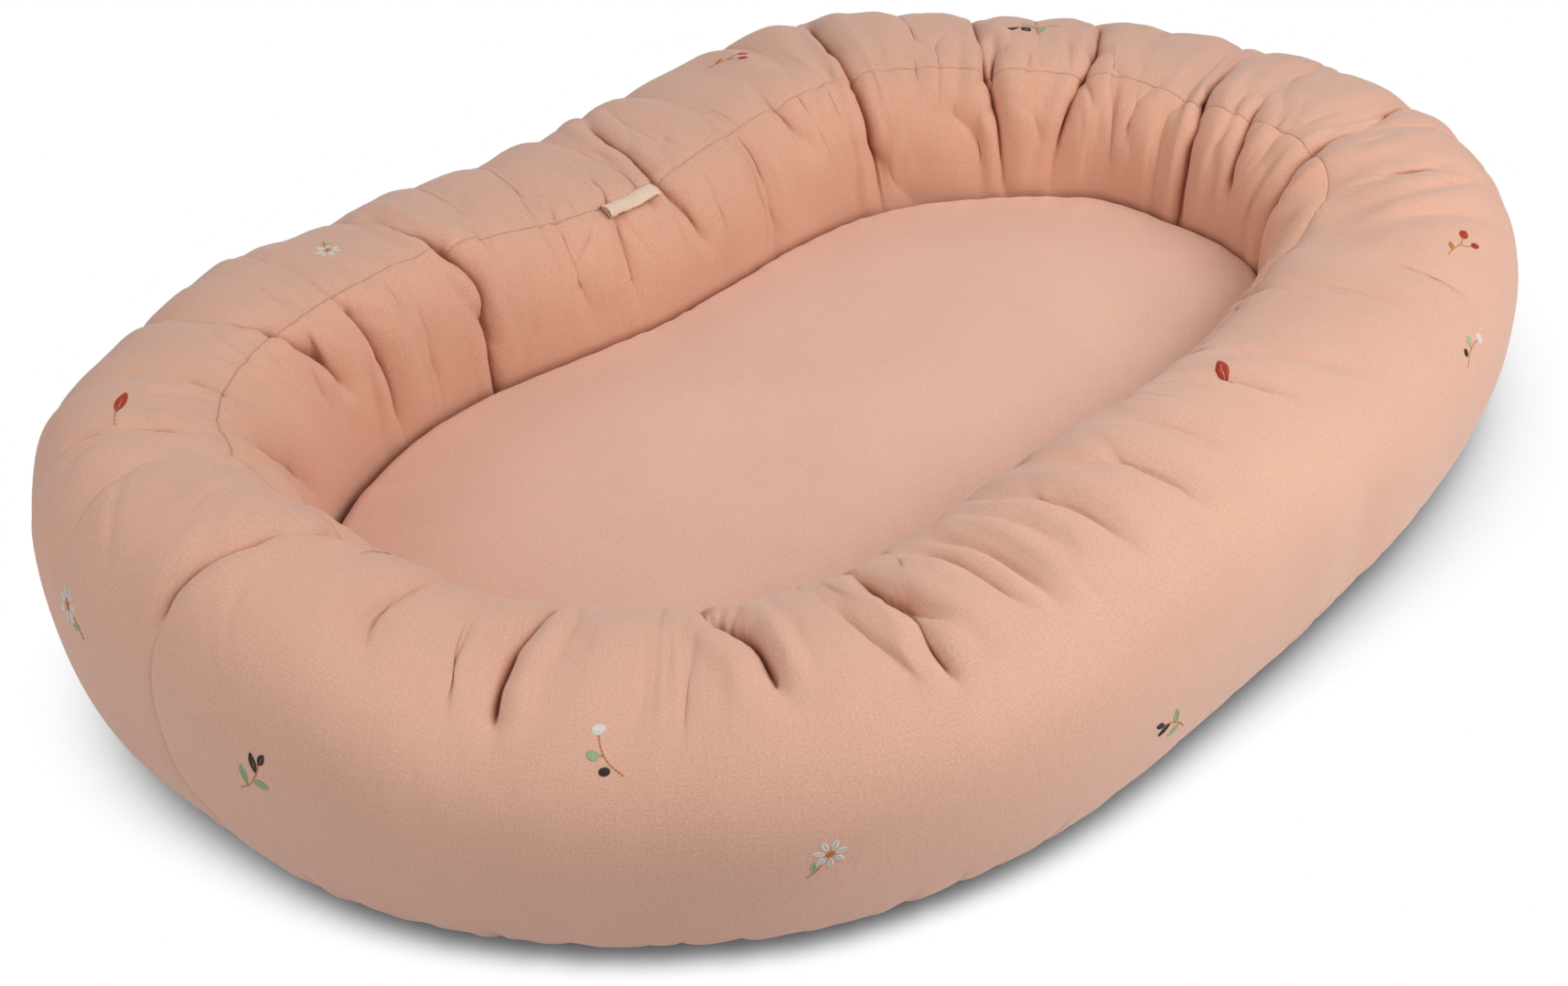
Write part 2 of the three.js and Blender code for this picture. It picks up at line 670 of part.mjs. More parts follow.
// The slider: two plates joined by a post between the rows, side walls, and the bail for its pull
function zipSlider() {
  const x = SLIDER_LENGTH / 2;
  const y = SLIDER_HALF_WIDTH;
  const post = SLIDER_POST / 2;
  const postX = SLIDER_POST_LENGTH / 2;
  const wall = y - SLIDER_WALL;
  const bailX = PULL_RIM / 2 + GAP;
  const bailY = BAIL_WIDTH / 2;
  const bailTop = LOWER_PLATE_BOTTOM + SLIDER_PLATE / 2;
  const wallBottom = TAPE_TOP + GAP;
  const wallTop = UPPER_PLATE_BOTTOM + SLIDER_PLATE / 2;
  return joined([
    block(-x, x, -y, y, LOWER_PLATE_BOTTOM, LOWER_PLATE_TOP),
    block(-x, x, -y, y, UPPER_PLATE_BOTTOM, UPPER_PLATE_TOP),
    block(-postX, postX, -post, post, bailTop, wallTop),
    block(-x, x, wall, y, wallBottom, wallTop),
    block(-x, x, -y, -wall, wallBottom, wallTop),
    block(bailX, bailX + BAIL_BAR, -bailY, bailY, BAIL_BOTTOM, bailTop),
    block(-bailX - BAIL_BAR, -bailX, -bailY, bailY, BAIL_BOTTOM, bailTop),
    block(-bailX - BAIL_BAR, bailX + BAIL_BAR, -bailY, bailY, BAIL_BOTTOM, BAIL_BOTTOM + BAIL_BAR),
  ]);
}

// The pull: a flat tab whose front bar lies in the bail
function zipPull() {
  const front = PULL_RIM / 2;
  const half = PULL_WIDTH / 2;
  const tail = front - PULL_LENGTH + half;
  const shape = new THREE.Shape();
  shape.moveTo(front, -half);
  shape.lineTo(front, half);
  shape.lineTo(tail, half);
  shape.absarc(tail, 0, half, TURN / 4, (3 * TURN) / 4, false);
  shape.lineTo(front, -half);
  const eyeHalf = half - PULL_RIM;
  const eyeFront = front - PULL_RIM;
  const eyeBack = eyeFront - PULL_EYE_LENGTH;
  const eye = new THREE.Path([
    new THREE.Vector2(eyeFront, -eyeHalf),
    new THREE.Vector2(eyeBack, -eyeHalf),
    new THREE.Vector2(eyeBack, eyeHalf),
    new THREE.Vector2(eyeFront, eyeHalf),
  ]);
  shape.holes.push(eye);
  const options = { depth: PULL_THICK, bevelEnabled: false, curveSegments: 12 };
  return new THREE.ExtrudeGeometry(shape, options).translate(0, 0, PULL_BOTTOM);
}

const baseOutline = columns.map((place) => (
  loop.beside(place, loop.halfWidth(place) * BASE_EDGE_SHARE, 0)
));

const nest = new THREE.Group();
nest.add(
  piece('base_panel', sheet(baseOutline, [], 0, BASE_THICK), looks.lining),
  piece('base_lining', sheet(mattressRing(0, 0), [], TUBE_FLOOR, CLOTH), looks.lining),
  piece('bumper_filling', fillingRing(), looks.fibre),
  piece('bumper_outer_panel', outerPanel(), looks.cotton),
  piece('bumper_inner_panel', innerPanel(), looks.cotton),
  sideLabel(),
);

const zipSliderGroup = new THREE.Group();
zipSliderGroup.position.x = ZIP_RUN / 2;
zipSliderGroup.add(
  piece('zip_slider', zipSlider(), looks.metal),
  piece('zip_pull', zipPull(), looks.metal),
);

const mattress = new THREE.Group();
mattress.add(
  piece('mattress_core', mattressCore(), looks.fibre),
  piece('mattress_top_panel', mattressTopPanel(), looks.cotton),
  piece('mattress_bottom_panel', mattressBottomPanel(), looks.lining),
  piece('zip_tape_left', zipTape(1), looks.tape),
  piece('zip_tape_right', zipTape(-1), looks.tape),
  piece('zip_coil_left', zipCoil(1), looks.coil),
  piece('zip_coil_right', zipCoil(-1), looks.coil),
  piece('zip_bottom_stop', zipBottomStop(), looks.metal),
  piece('zip_top_stop_left', zipTopStop(1), looks.metal),
  piece('zip_top_stop_right', zipTopStop(-1), looks.metal),
  zipSliderGroup,
);

const lounger = new THREE.Group();
lounger.add(nest, mattress);

export default lounger;
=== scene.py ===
"""The looks of a padded baby nest: a stuffed bumper sewn round a base, a loose mattress, a blank
label, embroidered motifs and a hidden zip. Metres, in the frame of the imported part."""

import math

import bpy
import numpy as np
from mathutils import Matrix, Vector


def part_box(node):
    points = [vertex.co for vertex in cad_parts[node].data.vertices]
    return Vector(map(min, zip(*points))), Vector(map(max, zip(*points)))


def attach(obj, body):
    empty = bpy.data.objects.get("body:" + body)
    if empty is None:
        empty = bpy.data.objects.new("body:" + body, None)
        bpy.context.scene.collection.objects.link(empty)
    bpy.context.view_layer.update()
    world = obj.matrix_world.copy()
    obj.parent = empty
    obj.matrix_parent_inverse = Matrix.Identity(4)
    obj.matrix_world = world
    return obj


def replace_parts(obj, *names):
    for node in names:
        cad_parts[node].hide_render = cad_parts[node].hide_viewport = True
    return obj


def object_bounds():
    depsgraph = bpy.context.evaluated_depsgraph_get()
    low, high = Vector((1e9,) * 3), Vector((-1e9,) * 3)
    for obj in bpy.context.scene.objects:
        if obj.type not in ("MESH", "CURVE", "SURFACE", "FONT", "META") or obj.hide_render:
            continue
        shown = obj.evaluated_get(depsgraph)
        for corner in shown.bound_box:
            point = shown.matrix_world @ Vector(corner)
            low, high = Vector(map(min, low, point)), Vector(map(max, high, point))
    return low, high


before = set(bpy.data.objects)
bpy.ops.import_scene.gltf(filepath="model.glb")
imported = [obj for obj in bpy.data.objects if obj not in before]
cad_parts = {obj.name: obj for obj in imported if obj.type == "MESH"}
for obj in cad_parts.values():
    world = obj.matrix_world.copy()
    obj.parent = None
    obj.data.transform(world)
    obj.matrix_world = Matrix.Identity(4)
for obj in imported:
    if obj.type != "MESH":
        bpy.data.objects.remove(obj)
cad_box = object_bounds()

MM = 0.001
TURN = 2 * math.pi
WHITE = (1, 1, 1, 1)

# Sizes of the nest, as in the part
NEST_SIZE = np.array(cad_box[1] - cad_box[0])[:2]
BUMPER_WIDTH = 143 * MM
BUMPER_HEIGHT = 145 * MM
TUBE_FLOOR = 1.8 * MM
PLAN_SQUARENESS = 2.5
TUBE_SQUARENESS = 2.5
OUTER_FLAT_SHARE = 0.35
INNER_FLAT_SHARE = 0.8
OUTER_HEM = -0.25
INNER_HEM = 0.75
SEAM_TURN = 0.335
NEAR_SIDE = (0.5, 0.93)
NEAR_SEAM_DROP = 0.07
SEAM_WAVER = 0.006
SEAM_PULL = 0.0007
SEAM_PULL_REACH = 8 * MM
NORMAL_STEP = 1 / 360

# Twelve places round the bumper, counterclockwise from the +X end: how far the tube's middle
# stands out from the oval, its height and its width, as shares of the bumper's sizes
STATION_SHARES = np.array([
    (-0.04, 0.91, 1.12),
    (-0.19, 0.96, 0.9),
    (0.06, 1.02, 1.06),
    (-0.06, 0.93, 1),
    (0.03, 1.07, 0.86),
    (-0.08, 1.2, 0.89),
    (-0.27, 1.22, 0.82),
    (-0.31, 0.96, 0.98),
    (0.04, 0.95, 1.04),
    (0.1, 1.04, 1.04),
    (0.05, 0.92, 1.01),
    (0.08, 0.94, 1.06),
])

# Grid of the bumper's skin: columns round the loop, rows from hem to seam and seam to hem
COLUMNS = 1320
OUTER_ROWS = 72
INNER_ROWS = 60
SLACK_OUTER_ROWS = 44
SLACK_INNER_ROWS = 36

# How the slack cloth settles over the stuffing
SETTLE_STEPS = 160
SWELL = 0.03 * MM
HOLD_BACK = 0.02
PUSH_OUT = 0.04
BEND = 0.04
SHEAR = 0.2
ROUND_FIRMNESS = (1, 0.7)
ACROSS_FIRMNESS = (1, 0.3)
ACROSS_EASE = 1.01
FOLD_HOLD = 0.35
DEEPEST_BROAD = -2 * MM
LEAST_ROOM = 0.9
SLIDE_BACK = 0.1

# Rows of the grid close beside the long seam, by their distance from it, and the hidden back of
# each side of the tube: how far it turns in at the seam, and its height as a share of the tube's
SEAM_ROWS = np.array([0.9, 2.0, 3.4, 5.2]) * MM
SEAM_ALLOWANCE = 7 * MM
CORE_SHARE = 0.55

# The shape of a pressed fold, in widths of the fold: its groove, dip and lips, how it leans to its
# two sides, how far it reaches, and how it holds the cloth and pulls it in
GROOVE_SHARE = 0.62
GROOVE_POWER = 1.35
DIP_SHARE = 0.38
LIP_PLACE = 2.5
LIP_WIDTH = 1.2
FOLD_LEAN = (1.25, 0.8)
FOLD_REACH = 12
HOLD_STEEPNESS = 1.3
SQUEEZE_WIDTH = 1.7

# Numbers of gathers and fine creases, the height of fine ridges, and three spots along a fold
SEAM_GATHERS = 150
HEM_GATHERS = 120
FINE_CREASES = 330
STREAKS = 0.36 * MM
HALVES = np.array([0, 0.5, 1])

# Folds: points of the line as (place, turn), depth and half width in millimetres. A place is a
# share of the way round, a turn is a share of the way round the tube's section.
MAIN_FOLDS = [
    ([(0.314, 0.2), (0.313, 0.25), (0.310, 0.30), (0.307, 0.35), (0.304, 0.41), (0.303, 0.49)], 12, 4.5),
    ([(0.308, 0.44), (0.306, 0.49), (0.305, 0.58)], 6, 4),
    ([(0.350, 0.36), (0.347, 0.43), (0.345, 0.53)], 9, 5),
    ([(0.381, 0.29), (0.376, 0.345), (0.370, 0.40), (0.364, 0.46)], 10, 4.5),
    ([(0.409, 0.27), (0.412, 0.30), (0.414, 0.34)], 5, 3.5),
    ([(0.442, 0.38), (0.421, 0.44), (0.399, 0.51)], 6, 6),
    ([(0.226, 0.12), (0.235, 0.21), (0.238, 0.29), (0.239, 0.35), (0.235, 0.46)], 7, 4),
    ([(0.188, 0.28), (0.188, 0.34), (0.183, 0.43)], 3.5, 3.5),
    ([(0.209, 0.33), (0.210, 0.42), (0.211, 0.52)], 2.5, 2.6),
    ([(0.206, 0.33), (0.2065, 0.42), (0.207, 0.54)], 2, 2.4),
    ([(0.256, 0.35), (0.257, 0.41), (0.258, 0.48)], 3, 4),
    ([(0.272, 0.34), (0.273, 0.42), (0.271, 0.5)], 2, 4),
    ([(0.152, 0.16), (0.154, 0.25), (0.1535, 0.335), (0.152, 0.43), (0.147, 0.55)], 12, 5),
    ([(0.150, 0.46), (0.142, 0.50), (0.131, 0.55)], 4, 5),
    ([(0.104, 0.18), (0.104, 0.28), (0.103, 0.36), (0.101, 0.42)], 10, 4.5),
    ([(0.098, 0.26), (0.0985, 0.36), (0.097, 0.45), (0.095, 0.55)], 9, 4.5),
    ([(0.056, 0.18), (0.060, 0.27), (0.064, 0.33), (0.071, 0.40), (0.079, 0.52)], 10, 4.5),
    ([(0.117, 0.41), (0.110, 0.45), (0.102, 0.51)], 4, 6),
    ([(0.015, 0.20), (0.015, 0.28), (0.014, 0.35)], 5, 3.5),
    ([(0.010, 0.20), (0.006, 0.30), (0.002, 0.38), (0.000, 0.46), (0.000, 0.55)], 10, 4.5),
    ([(0.018, 0.36), (0.018, 0.44), (0.018, 0.54)], 3, 3),
    ([(0.984, 0.31), (0.980, 0.38), (0.972, 0.47)], 7, 4),
    ([(0.946, 0.30), (0.940, 0.37), (0.932, 0.45), (0.930, 0.54)], 9, 5),
    ([(0.900, 0.31), (0.904, 0.36), (0.896, 0.385), (0.880, 0.40)], 7, 5),
    ([(0.926, 0.20), (0.916, 0.28), (0.906, 0.34)], 6, 4.5),
    ([(0.944, 0.18), (0.945, 0.26), (0.945, 0.34)], 4, 4),
    ([(0.962, 0.13), (0.955, 0.20), (0.946, 0.28)], 5, 6),
    ([(0.918, 0.17), (0.913, 0.22), (0.905, 0.26), (0.894, 0.295)], 6, 3.6),
    ([(0.904, 0.15), (0.901, 0.22), (0.896, 0.262), (0.886, 0.30)], 5, 3.8),
    ([(0.888, 0.27), (0.882, 0.30), (0.876, 0.33)], 3.5, 3.5),
    ([(0.808, 0.33), (0.812, 0.29), (0.8175, 0.24), (0.8225, 0.19)], 3.5, 3.2),
    ([(0.788, 0.33), (0.7935, 0.285), (0.7965, 0.23)], 3, 3),
    ([(0.869, 0.28), (0.871, 0.2), (0.872, 0.12)], 2.5, 7),
    ([(0.434, 0.18), (0.439, 0.24), (0.444, 0.28)], 6, 3.5),
    ([(0.520, 0.34), (0.511, 0.29), (0.504, 0.23), (0.500, 0.17), (0.4985, 0.12)], 6, 5),
    ([(0.5535, 0.33), (0.548, 0.27), (0.5465, 0.245), (0.5485, 0.215)], 5.4, 3.6),
    ([(0.553, 0.31), (0.545, 0.265), (0.5415, 0.23)], 4, 3.6),
    ([(0.592, 0.335), (0.589, 0.275), (0.587, 0.24), (0.587, 0.185)], 11, 4.5),
    ([(0.572, 0.30), (0.573, 0.225), (0.574, 0.17)], 2.2, 7),
    ([(0.634, 0.335), (0.641, 0.30), (0.6455, 0.27), (0.647, 0.225)], 11, 4.5),
    ([(0.632, 0.30), (0.6305, 0.24), (0.628, 0.18)], 2, 8),
    ([(0.616, 0.31), (0.6185, 0.25), (0.618, 0.19)], 1.6, 8),
    ([(0.6755, 0.335), (0.6785, 0.29), (0.681, 0.265), (0.6835, 0.235)], 7, 4),
    ([(0.674, 0.31), (0.6785, 0.255), (0.678, 0.22), (0.6775, 0.175)], 6, 4.5),
    ([(0.664, 0.30), (0.668, 0.24), (0.672, 0.17)], 3, 6),
    ([(0.690, 0.345), (0.694, 0.30), (0.6965, 0.25), (0.6975, 0.21)], 5, 3.6),
    ([(0.696, 0.345), (0.7005, 0.30), (0.7035, 0.25), (0.704, 0.2)], 5.4, 3.8),
    ([(0.7155, 0.345), (0.722, 0.29), (0.7255, 0.25), (0.726, 0.195)], 3.4, 3.4),
    ([(0.733, 0.335), (0.740, 0.285), (0.7465, 0.25), (0.749, 0.185)], 4.4, 3.4),
    ([(0.707, 0.33), (0.712, 0.28), (0.715, 0.24)], 1.8, 3.2),
    ([(0.757, 0.33), (0.763, 0.28), (0.766, 0.23)], 1.8, 3.4),
    ([(0.848, 0.33), (0.852, 0.27), (0.853, 0.2)], 2.2, 5),
]
WALL_FOLDS = [
    ([(0.52, 0.38), (0.522, 0.44), (0.52, 0.55)], 7, 5),
    ([(0.556, 0.38), (0.555, 0.44), (0.552, 0.52)], 6, 5),
    ([(0.592, 0.36), (0.595, 0.42), (0.596, 0.5)], 9, 5),
    ([(0.634, 0.36), (0.630, 0.42), (0.628, 0.52)], 9, 5),
    ([(0.676, 0.37), (0.673, 0.43), (0.672, 0.55)], 7, 5),
    ([(0.704, 0.38), (0.706, 0.45), (0.705, 0.54)], 6, 5),
    ([(0.736, 0.38), (0.735, 0.43), (0.737, 0.5)], 6, 5),
    ([(0.773, 0.38), (0.772, 0.44), (0.768, 0.53)], 5, 5),
    ([(0.811, 0.38), (0.809, 0.43), (0.811, 0.5)], 6, 5),
    ([(0.85, 0.38), (0.852, 0.44), (0.85, 0.55)], 7, 5),
    ([(0.462, 0.33), (0.465, 0.43), (0.463, 0.54)], 6, 5),
    ([(0.491, 0.33), (0.489, 0.41), (0.491, 0.49)], 5, 4),
]

# Folds deeper than this, in millimetres, close into a crease
SOFT_DEPTH = 5.5

# How folds are pressed before and after the cloth settles, first the deep ones and then the soft
# ones: factors of depth and width, height of the lips, spread of the dip, and pull across
SLACK_FOLDS = (1.25, 1, 0.4, 3.8, 0.8), (1, 1.7, 0.35, 2.6, 0.35)
CREASES = (0.6, 0.55, 0.22, 1.5, 0.82), (0.3, 0.55, 0.3, 1.6, 0.6)

# Dents over the outer shoulder: places and depths, their width, and the turns they cross
CREST_DENTS = [
    (0.294, 1.8), (0.2735, 1.6), (0.248, 2.4), (0.226, 1.6), (0.209, 3.5), (0.174, 5), (0.157, 3),
    (0.128, 2.5), (0.105, 4), (0.081, 2), (0.058, 4), (0.036, 2), (0.0135, 5), (0.006, 4),
    (0.983, 1.5), (0.957, 4), (0.9445, 3), (0.922, 2), (0.459, 1.2), (0.4375, 1.2),
    (0.4135, 1.6), (0.382, 2.2), (0.349, 1.2), (0.318, 1.2),
]
CREST_WIDTH = 5
CREST_TURNS = (0.09, 0.19, 0.29)

# Broad bulges and hollows of the stuffing: place, turn, reach along, reach in turns, height in mm
BULGES = [
    (0.024, 0.22, 0.03, 0.09, -7),
    (0.191, 0.21, 0.024, 0.09, -10),
    (0.228, 0.15, 0.014, 0.09, 4),
    (0.35, 0.19, 0.014, 0.07, 6),
    (0.417, 0.12, 0.012, 0.08, 4),
    (0.8, -0.01, 0.012, 0.08, -4),
    (0.54, -0.06, 0.045, 0.09, -3.5),
    (0.628, -0.05, 0.016, 0.09, -3.5),
    (0.3, 0.13, 0.012, 0.08, 3),
    (0.255, 0.15, 0.01, 0.08, 3),
    (0.664, -0.05, 0.02, 0.09, -5),
    (0.32, 0.21, 0.03, 0.1, -8),
    (0.765, -0.02, 0.045, 0.14, -8),
    (0.105, 0.22, 0.02, 0.08, -3),
    (0.9, 0.315, 0.03, 0.08, -14),
    (0.83, 0.31, 0.03, 0.07, -5),
    (0.1, 0.58, 0.07, 0.13, -7),
    (0.375, 0.58, 0.05, 0.13, -8),
    (0.572, 0.28, 0.011, 0.06, 6),
    (0.548, 0.29, 0.01, 0.05, 4),
    (0.613, 0.28, 0.013, 0.06, 4),
]

# The cross seam, where the two ends of the outer cover are sewn together, as (turn, place)
CROSS_SEAM = [(-0.25, 0.503), (-0.09, 0.502), (-0.04, 0.495), (0.04, 0.496), (0.115, 0.5),
              (0.18, 0.501), (0.25, 0.505), (0.29, 0.511), (0.34, 0.518), (0.38, 0.519)]
CROSS_PLACE = CROSS_SEAM[4][1]

# The blank label in the long seam: its places, its tape, and its section in millimetres
LABEL_PLACES = (0.2422, 0.2582)
LABEL_TAPE = 0.45 * MM
LABEL_PROFILE = [(-1.5, -0.6), (0.2, 1.1), (2.6, 2.7), (5.6, 3.3), (8.0, 2.9), (8.8, 1.8),
                 (8.0, 0.9), (5.2, 0.7), (2.4, 0.7), (-0.5, -0.6)]

# Threads: a stitch's stations, and its rise in millimetres and its width at each
THREAD_WIDTH = 0.74 * MM
STITCH_STATIONS = (0, 0.15, 0.5, 0.85, 1)
STITCH_LIFTS = np.array([-0.25, 0.28, 0.42, 0.28, -0.25])
STITCH_WIDTHS = np.array([0.45, 0.9, 1, 0.9, 0.45])
STITCH_STEP = 0.4
STEM_STITCH = 1.5
SEAM_STITCH_COLUMNS = (-1.15, 0.35)
SEAM_STITCH_PITCH = 1.9 * MM

# The embroidered motifs: design, place, turn and angle
MOTIF_SCALE = 1.15
MOTIFS = [
    ("berries", 0.182, 0.215, 2.6),
    ("daisy", 0.335, 0.255, 0.5),
    ("leaf", 0.428, 0.235, 2.9),
    ("twig", 0.083, 0.235, 0.4),
    ("berries", 0.887, 0.185, -0.5),
    ("leaf", 0.795, 0.285, 0.7),
    ("buds", 0.612, 0.16, 2.2),
    ("twig", 0.528, 0.02, 0.9),
    ("daisy", 0.65, 0.02, 0.2),
    ("twig", 0.725, -0.03, 2.5),
    ("buds", 0.86, 0.09, 0.3),
    ("leaf", 0.965, 0.06, 1.1),
    ("daisy", 0.025, 0.1, -0.6),
    ("berries", 0.115, 0.02, 0.8),
    ("buds", 0.235, 0.06, 2.9),
    ("twig", 0.3, -0.04, 0.6),
    ("berries", 0.375, 0.07, -0.4),
    ("daisy", 0.465, 0.06, 1.9),
]

# Sizes of the mattress, its zip and the base
CLOTH = 1.2 * MM
BASE_THICK = 1.5 * MM
LINING_TOP = 3.0 * MM
BASE_EDGE_SHARE = 0.42
SLOT_LENGTH = 440 * MM
SLOT_WIDTH = 18 * MM
UNDER_INSET = 5 * MM
HIDDEN_LEVEL = 15 * MM
COIL_PITCH = 1.25 * MM
COIL_WIRE = 0.65 * MM
MATTRESS_STEPS = 480
MATTRESS_COLUMNS = 420
MATTRESS_FLOOR = 3.3 * MM
MATTRESS_TOP = 54.5 * MM
MATTRESS_CROWN = 8 * MM
TOP_ROUND = 10 * MM
UNDER_ROUND = 10 * MM
WALL_CLEARANCE = 0.3 * MM

# Section of a zip tape, as shares of its half width and of its thickness
TAPE_SECTION = [(-1, 0.5), (-0.95, 0.95), (-0.7, 0.8), (0, 0.85), (0.7, 0.8), (0.95, 0.95),
                (1, 0.5), (0.9, 0.05), (0, 0), (-0.9, 0.05)]

# Colours of the cloths, the zip and the threads, and the nodes that keep their solids
COTTON = (0.70, 0.402, 0.294)
# The wall's cotton is the cotton made deeper and redder as painted bounce light between the walls, and the
# sheet's is made lighter as painted light
WALL_COTTON_PAINTED_BOUNCE = (0.72, 0.398, 0.274)
SHEET_COTTON_PAINTED_LIGHT = (0.78, 0.472, 0.363)
ZIP_CLOTH = (0.66, 0.42, 0.32)
ZIP_METAL = (0.62, 0.6, 0.57)
LABEL_CLOTH = (0.82, 0.62, 0.47)
THREAD_COLORS = {
    "rust": (0.4, 0.035, 0.012),
    "ochre": (0.55, 0.22, 0.04),
    "mint": (0.36, 0.45, 0.28),
    "dark": (0.02, 0.014, 0.012),
    "white": (0.74, 0.7, 0.64),
    "seam": (0.62, 0.34, 0.24),
}
METAL_NODES = ("zip_slider", "zip_pull", "zip_bottom_stop", "zip_top_stop_left", "zip_top_stop_right")

# How far into a crease the cloth gets painted shade, and the colour of that painted shade
CREASE_REACH = 8 * MM
CREASE_PAINTED_SHADE = (0.7, 0.47, 0.36, 1)

# Sockets of the Mix node for its factor, its two colours and its mixed colour
MIX_FACTOR, MIX_FIRST, MIX_SECOND, MIX_RESULT = 0, 6, 7, 2

# The floor's size and its colour for light, and what the camera sees: the share of open sky over a
# spot, and the grey of the painted shadow there. The painted shadow reaches further towards both
# ends of a diagonal.
FLOOR_SIZE = 8
FLOOR_LEVEL = -0.2 * MM
FLOOR_COLOR = (0.78, 0.78, 0.78, 1)
SHADOW_REACH = 0.021
SHADOW_GROWTH = 1.0
SHADOW_AXIS = (0.705, -0.709, 0)
SHADOW_MIDDLE = -0.05
FLOOR_PAINTED_SHADOW = [(0.18, 0.09), (0.27, 0.165), (0.36, 0.31), (0.45, 0.53), (0.54, 0.74), (0.65, 0.91),
                (0.78, 1.0)]

# The light of the world, and the lamps: name, place and power
WORLD_LIGHT = 0.1
LAMP_SIZE = 1.1
LAMP_TARGET = (0, 0, 0.03)
LAMPS = [
    ("Front", (0.25, -0.95, 0.8), 7.1),
    ("Front right", (0.585, -1.015, 1.3), 9.7),
    ("Left", (-1.49, 0.26, 0.875), 6.7),
    ("Left high", (-1.153, -0.203, 1.3), 4.0),
    ("Behind", (0.76, 1.31, 0.875), 4.4),
    ("Overhead", (0.39, 0.23, 1.69), 3.6),
]

# The camera, as fitted to the photograph, and the photograph's frame in pixels
CAMERA_PLACE = (-0.6777, -0.7013, 0.7689)
CAMERA_TARGET = (-0.0109, -0.0382, 0)
FOCAL_PIXELS = 2234
PHOTO_WIDTH, PHOTO_HEIGHT = 1714, 1078
PRINCIPAL_X, PRINCIPAL_Y = 980.4, 551.7
SENSOR_WIDTH = 36


def signed_power(value, exponent):
    return np.sign(value) * np.abs(value) ** exponent


def smooth_step(value):
    value = np.clip(value, 0, 1)
    return value * value * (3 - 2 * value)


def window(value, first, rise, last, fall):
    """1 between two ends, with soft slopes inside them, and 0 outside."""
    return smooth_step((value - first) / rise) * smooth_step((last - value) / fall)


def bell(value):
    return np.exp(-value ** 2)


def lengths(vectors):
    return np.linalg.norm(vectors, axis=-1)


def unit(vectors):
    return vectors / np.linalg.norm(vectors, axis=-1, keepdims=True)


def dots(a, b):
    return np.einsum("...k,...k->...", a, b)


def ahead(values):
    return np.roll(values, -1, axis=0)


def behind(values):
    return np.roll(values, 1, axis=0)


def past(a, b):
    """How far a is past b, where both are shares of the way round."""
    return (a - b + 0.5) % 1 - 0.5


def right_of(way):
    """The way to the right of another, in plan."""
    way = unit(way)
    return np.stack([way[..., 1], -way[..., 0]], axis=-1)


def run_along(points):
    """Distance along a line of points, from its start."""
    return np.concatenate([[0], lengths(np.diff(points, axis=0)).cumsum()])


def spline(a, b, c, d, w):
    """A smooth way from b to c, with a and d as neighbours."""
    return b + w / 2 * (c - a + w * (2 * a - 5 * b + 4 * c - d + w * (3 * (b - c) + d - a)))


def curve_through(points, count):
    """Evenly spread points on a smooth line through some points."""
    points = np.array(points, float)
    padded = np.vstack([2 * points[0] - points[1], points, 2 * points[-1] - points[-2]])
    at = np.linspace(0, len(points) - 1, count)
    i = np.minimum(at.astype(int), len(points) - 2)
    return spline(*(padded[i + k] for k in range(4)), (at - i)[:, None])


def hills(seed, around, across, places, shares):
    """Smooth random heights from about -1 to 1 on a grid of places (endless) and shares."""
    knots = 2.2 * np.random.default_rng(seed).uniform(-1, 1, (around, across + 3))

    def weights(at):
        i = np.floor(at).astype(int)
        w = at - i
        return i, [s / 6 for s in ((1 - w) ** 3, 3 * w ** 3 - 6 * w ** 2 + 4,
                                   -3 * w ** 3 + 3 * w ** 2 + 3 * w + 1, w ** 3)]

    i, wi = weights((places % 1) * around)
    j, wj = weights(np.clip(shares, 0, 1) * (across - 1e-6))
    return sum(wi[a] * wj[b] * knots[(i + a) % around, np.minimum(j + b, across + 2)]
               for a in range(4) for b in range(4))


class Loop:
    """The line that the middle of the bumper follows. A place on it is a share of the way round."""

    samples = 1440
    step = 1 / 720

    def __init__(self):
        self.half = (NEST_SIZE - BUMPER_WIDTH) / 2
        self.shares = np.linspace(0, 1, self.samples + 1)
        run = run_along(self.oval(self.shares))
        self.length = run[-1]
        self.run = run / self.length
        self.scale, self.shift = np.ones(2), np.zeros(2)
        places = np.arange(0, 1, self.step)
        middle = np.ptp(self.middle(places), axis=0)
        outside = self.beside(places, self.half_width(places))
        self.scale = (NEST_SIZE - np.ptp(outside, axis=0) + middle) / middle
        outside = self.beside(places, self.half_width(places))
        self.shift = (outside.max(0) + outside.min(0)) / 2

    def oval(self, share):
        ways = np.stack([np.cos(TURN * share), np.sin(TURN * share)], axis=-1)
        return self.half * signed_power(ways, 2 / PLAN_SQUARENESS)

    def station(self, place):
        count = len(STATION_SHARES)
        at = (place % 1) * count
        i = np.floor(at).astype(int)
        return spline(*(STATION_SHARES[(i + k) % count] for k in (-1, 0, 1, 2)), (at - i)[..., None])

    def half_width(self, place):
        return self.station(place)[..., 2] * BUMPER_WIDTH / 2

    def height(self, place):
        return self.station(place)[..., 1] * BUMPER_HEIGHT

    def middle(self, place):
        share = np.interp(place % 1, self.run, self.shares)
        outward = right_of(self.oval(share + 1e-4) - self.oval(share - 1e-4))
        sway = self.station(place)[..., :1] * BUMPER_WIDTH
        return (self.oval(share) + outward * sway) * self.scale - self.shift

    def outward(self, place):
        return right_of(self.middle(place + self.step) - self.middle(place - self.step))

    def beside(self, place, distance):
        return self.middle(place) + self.outward(place) * distance[..., None]


loop = Loop()


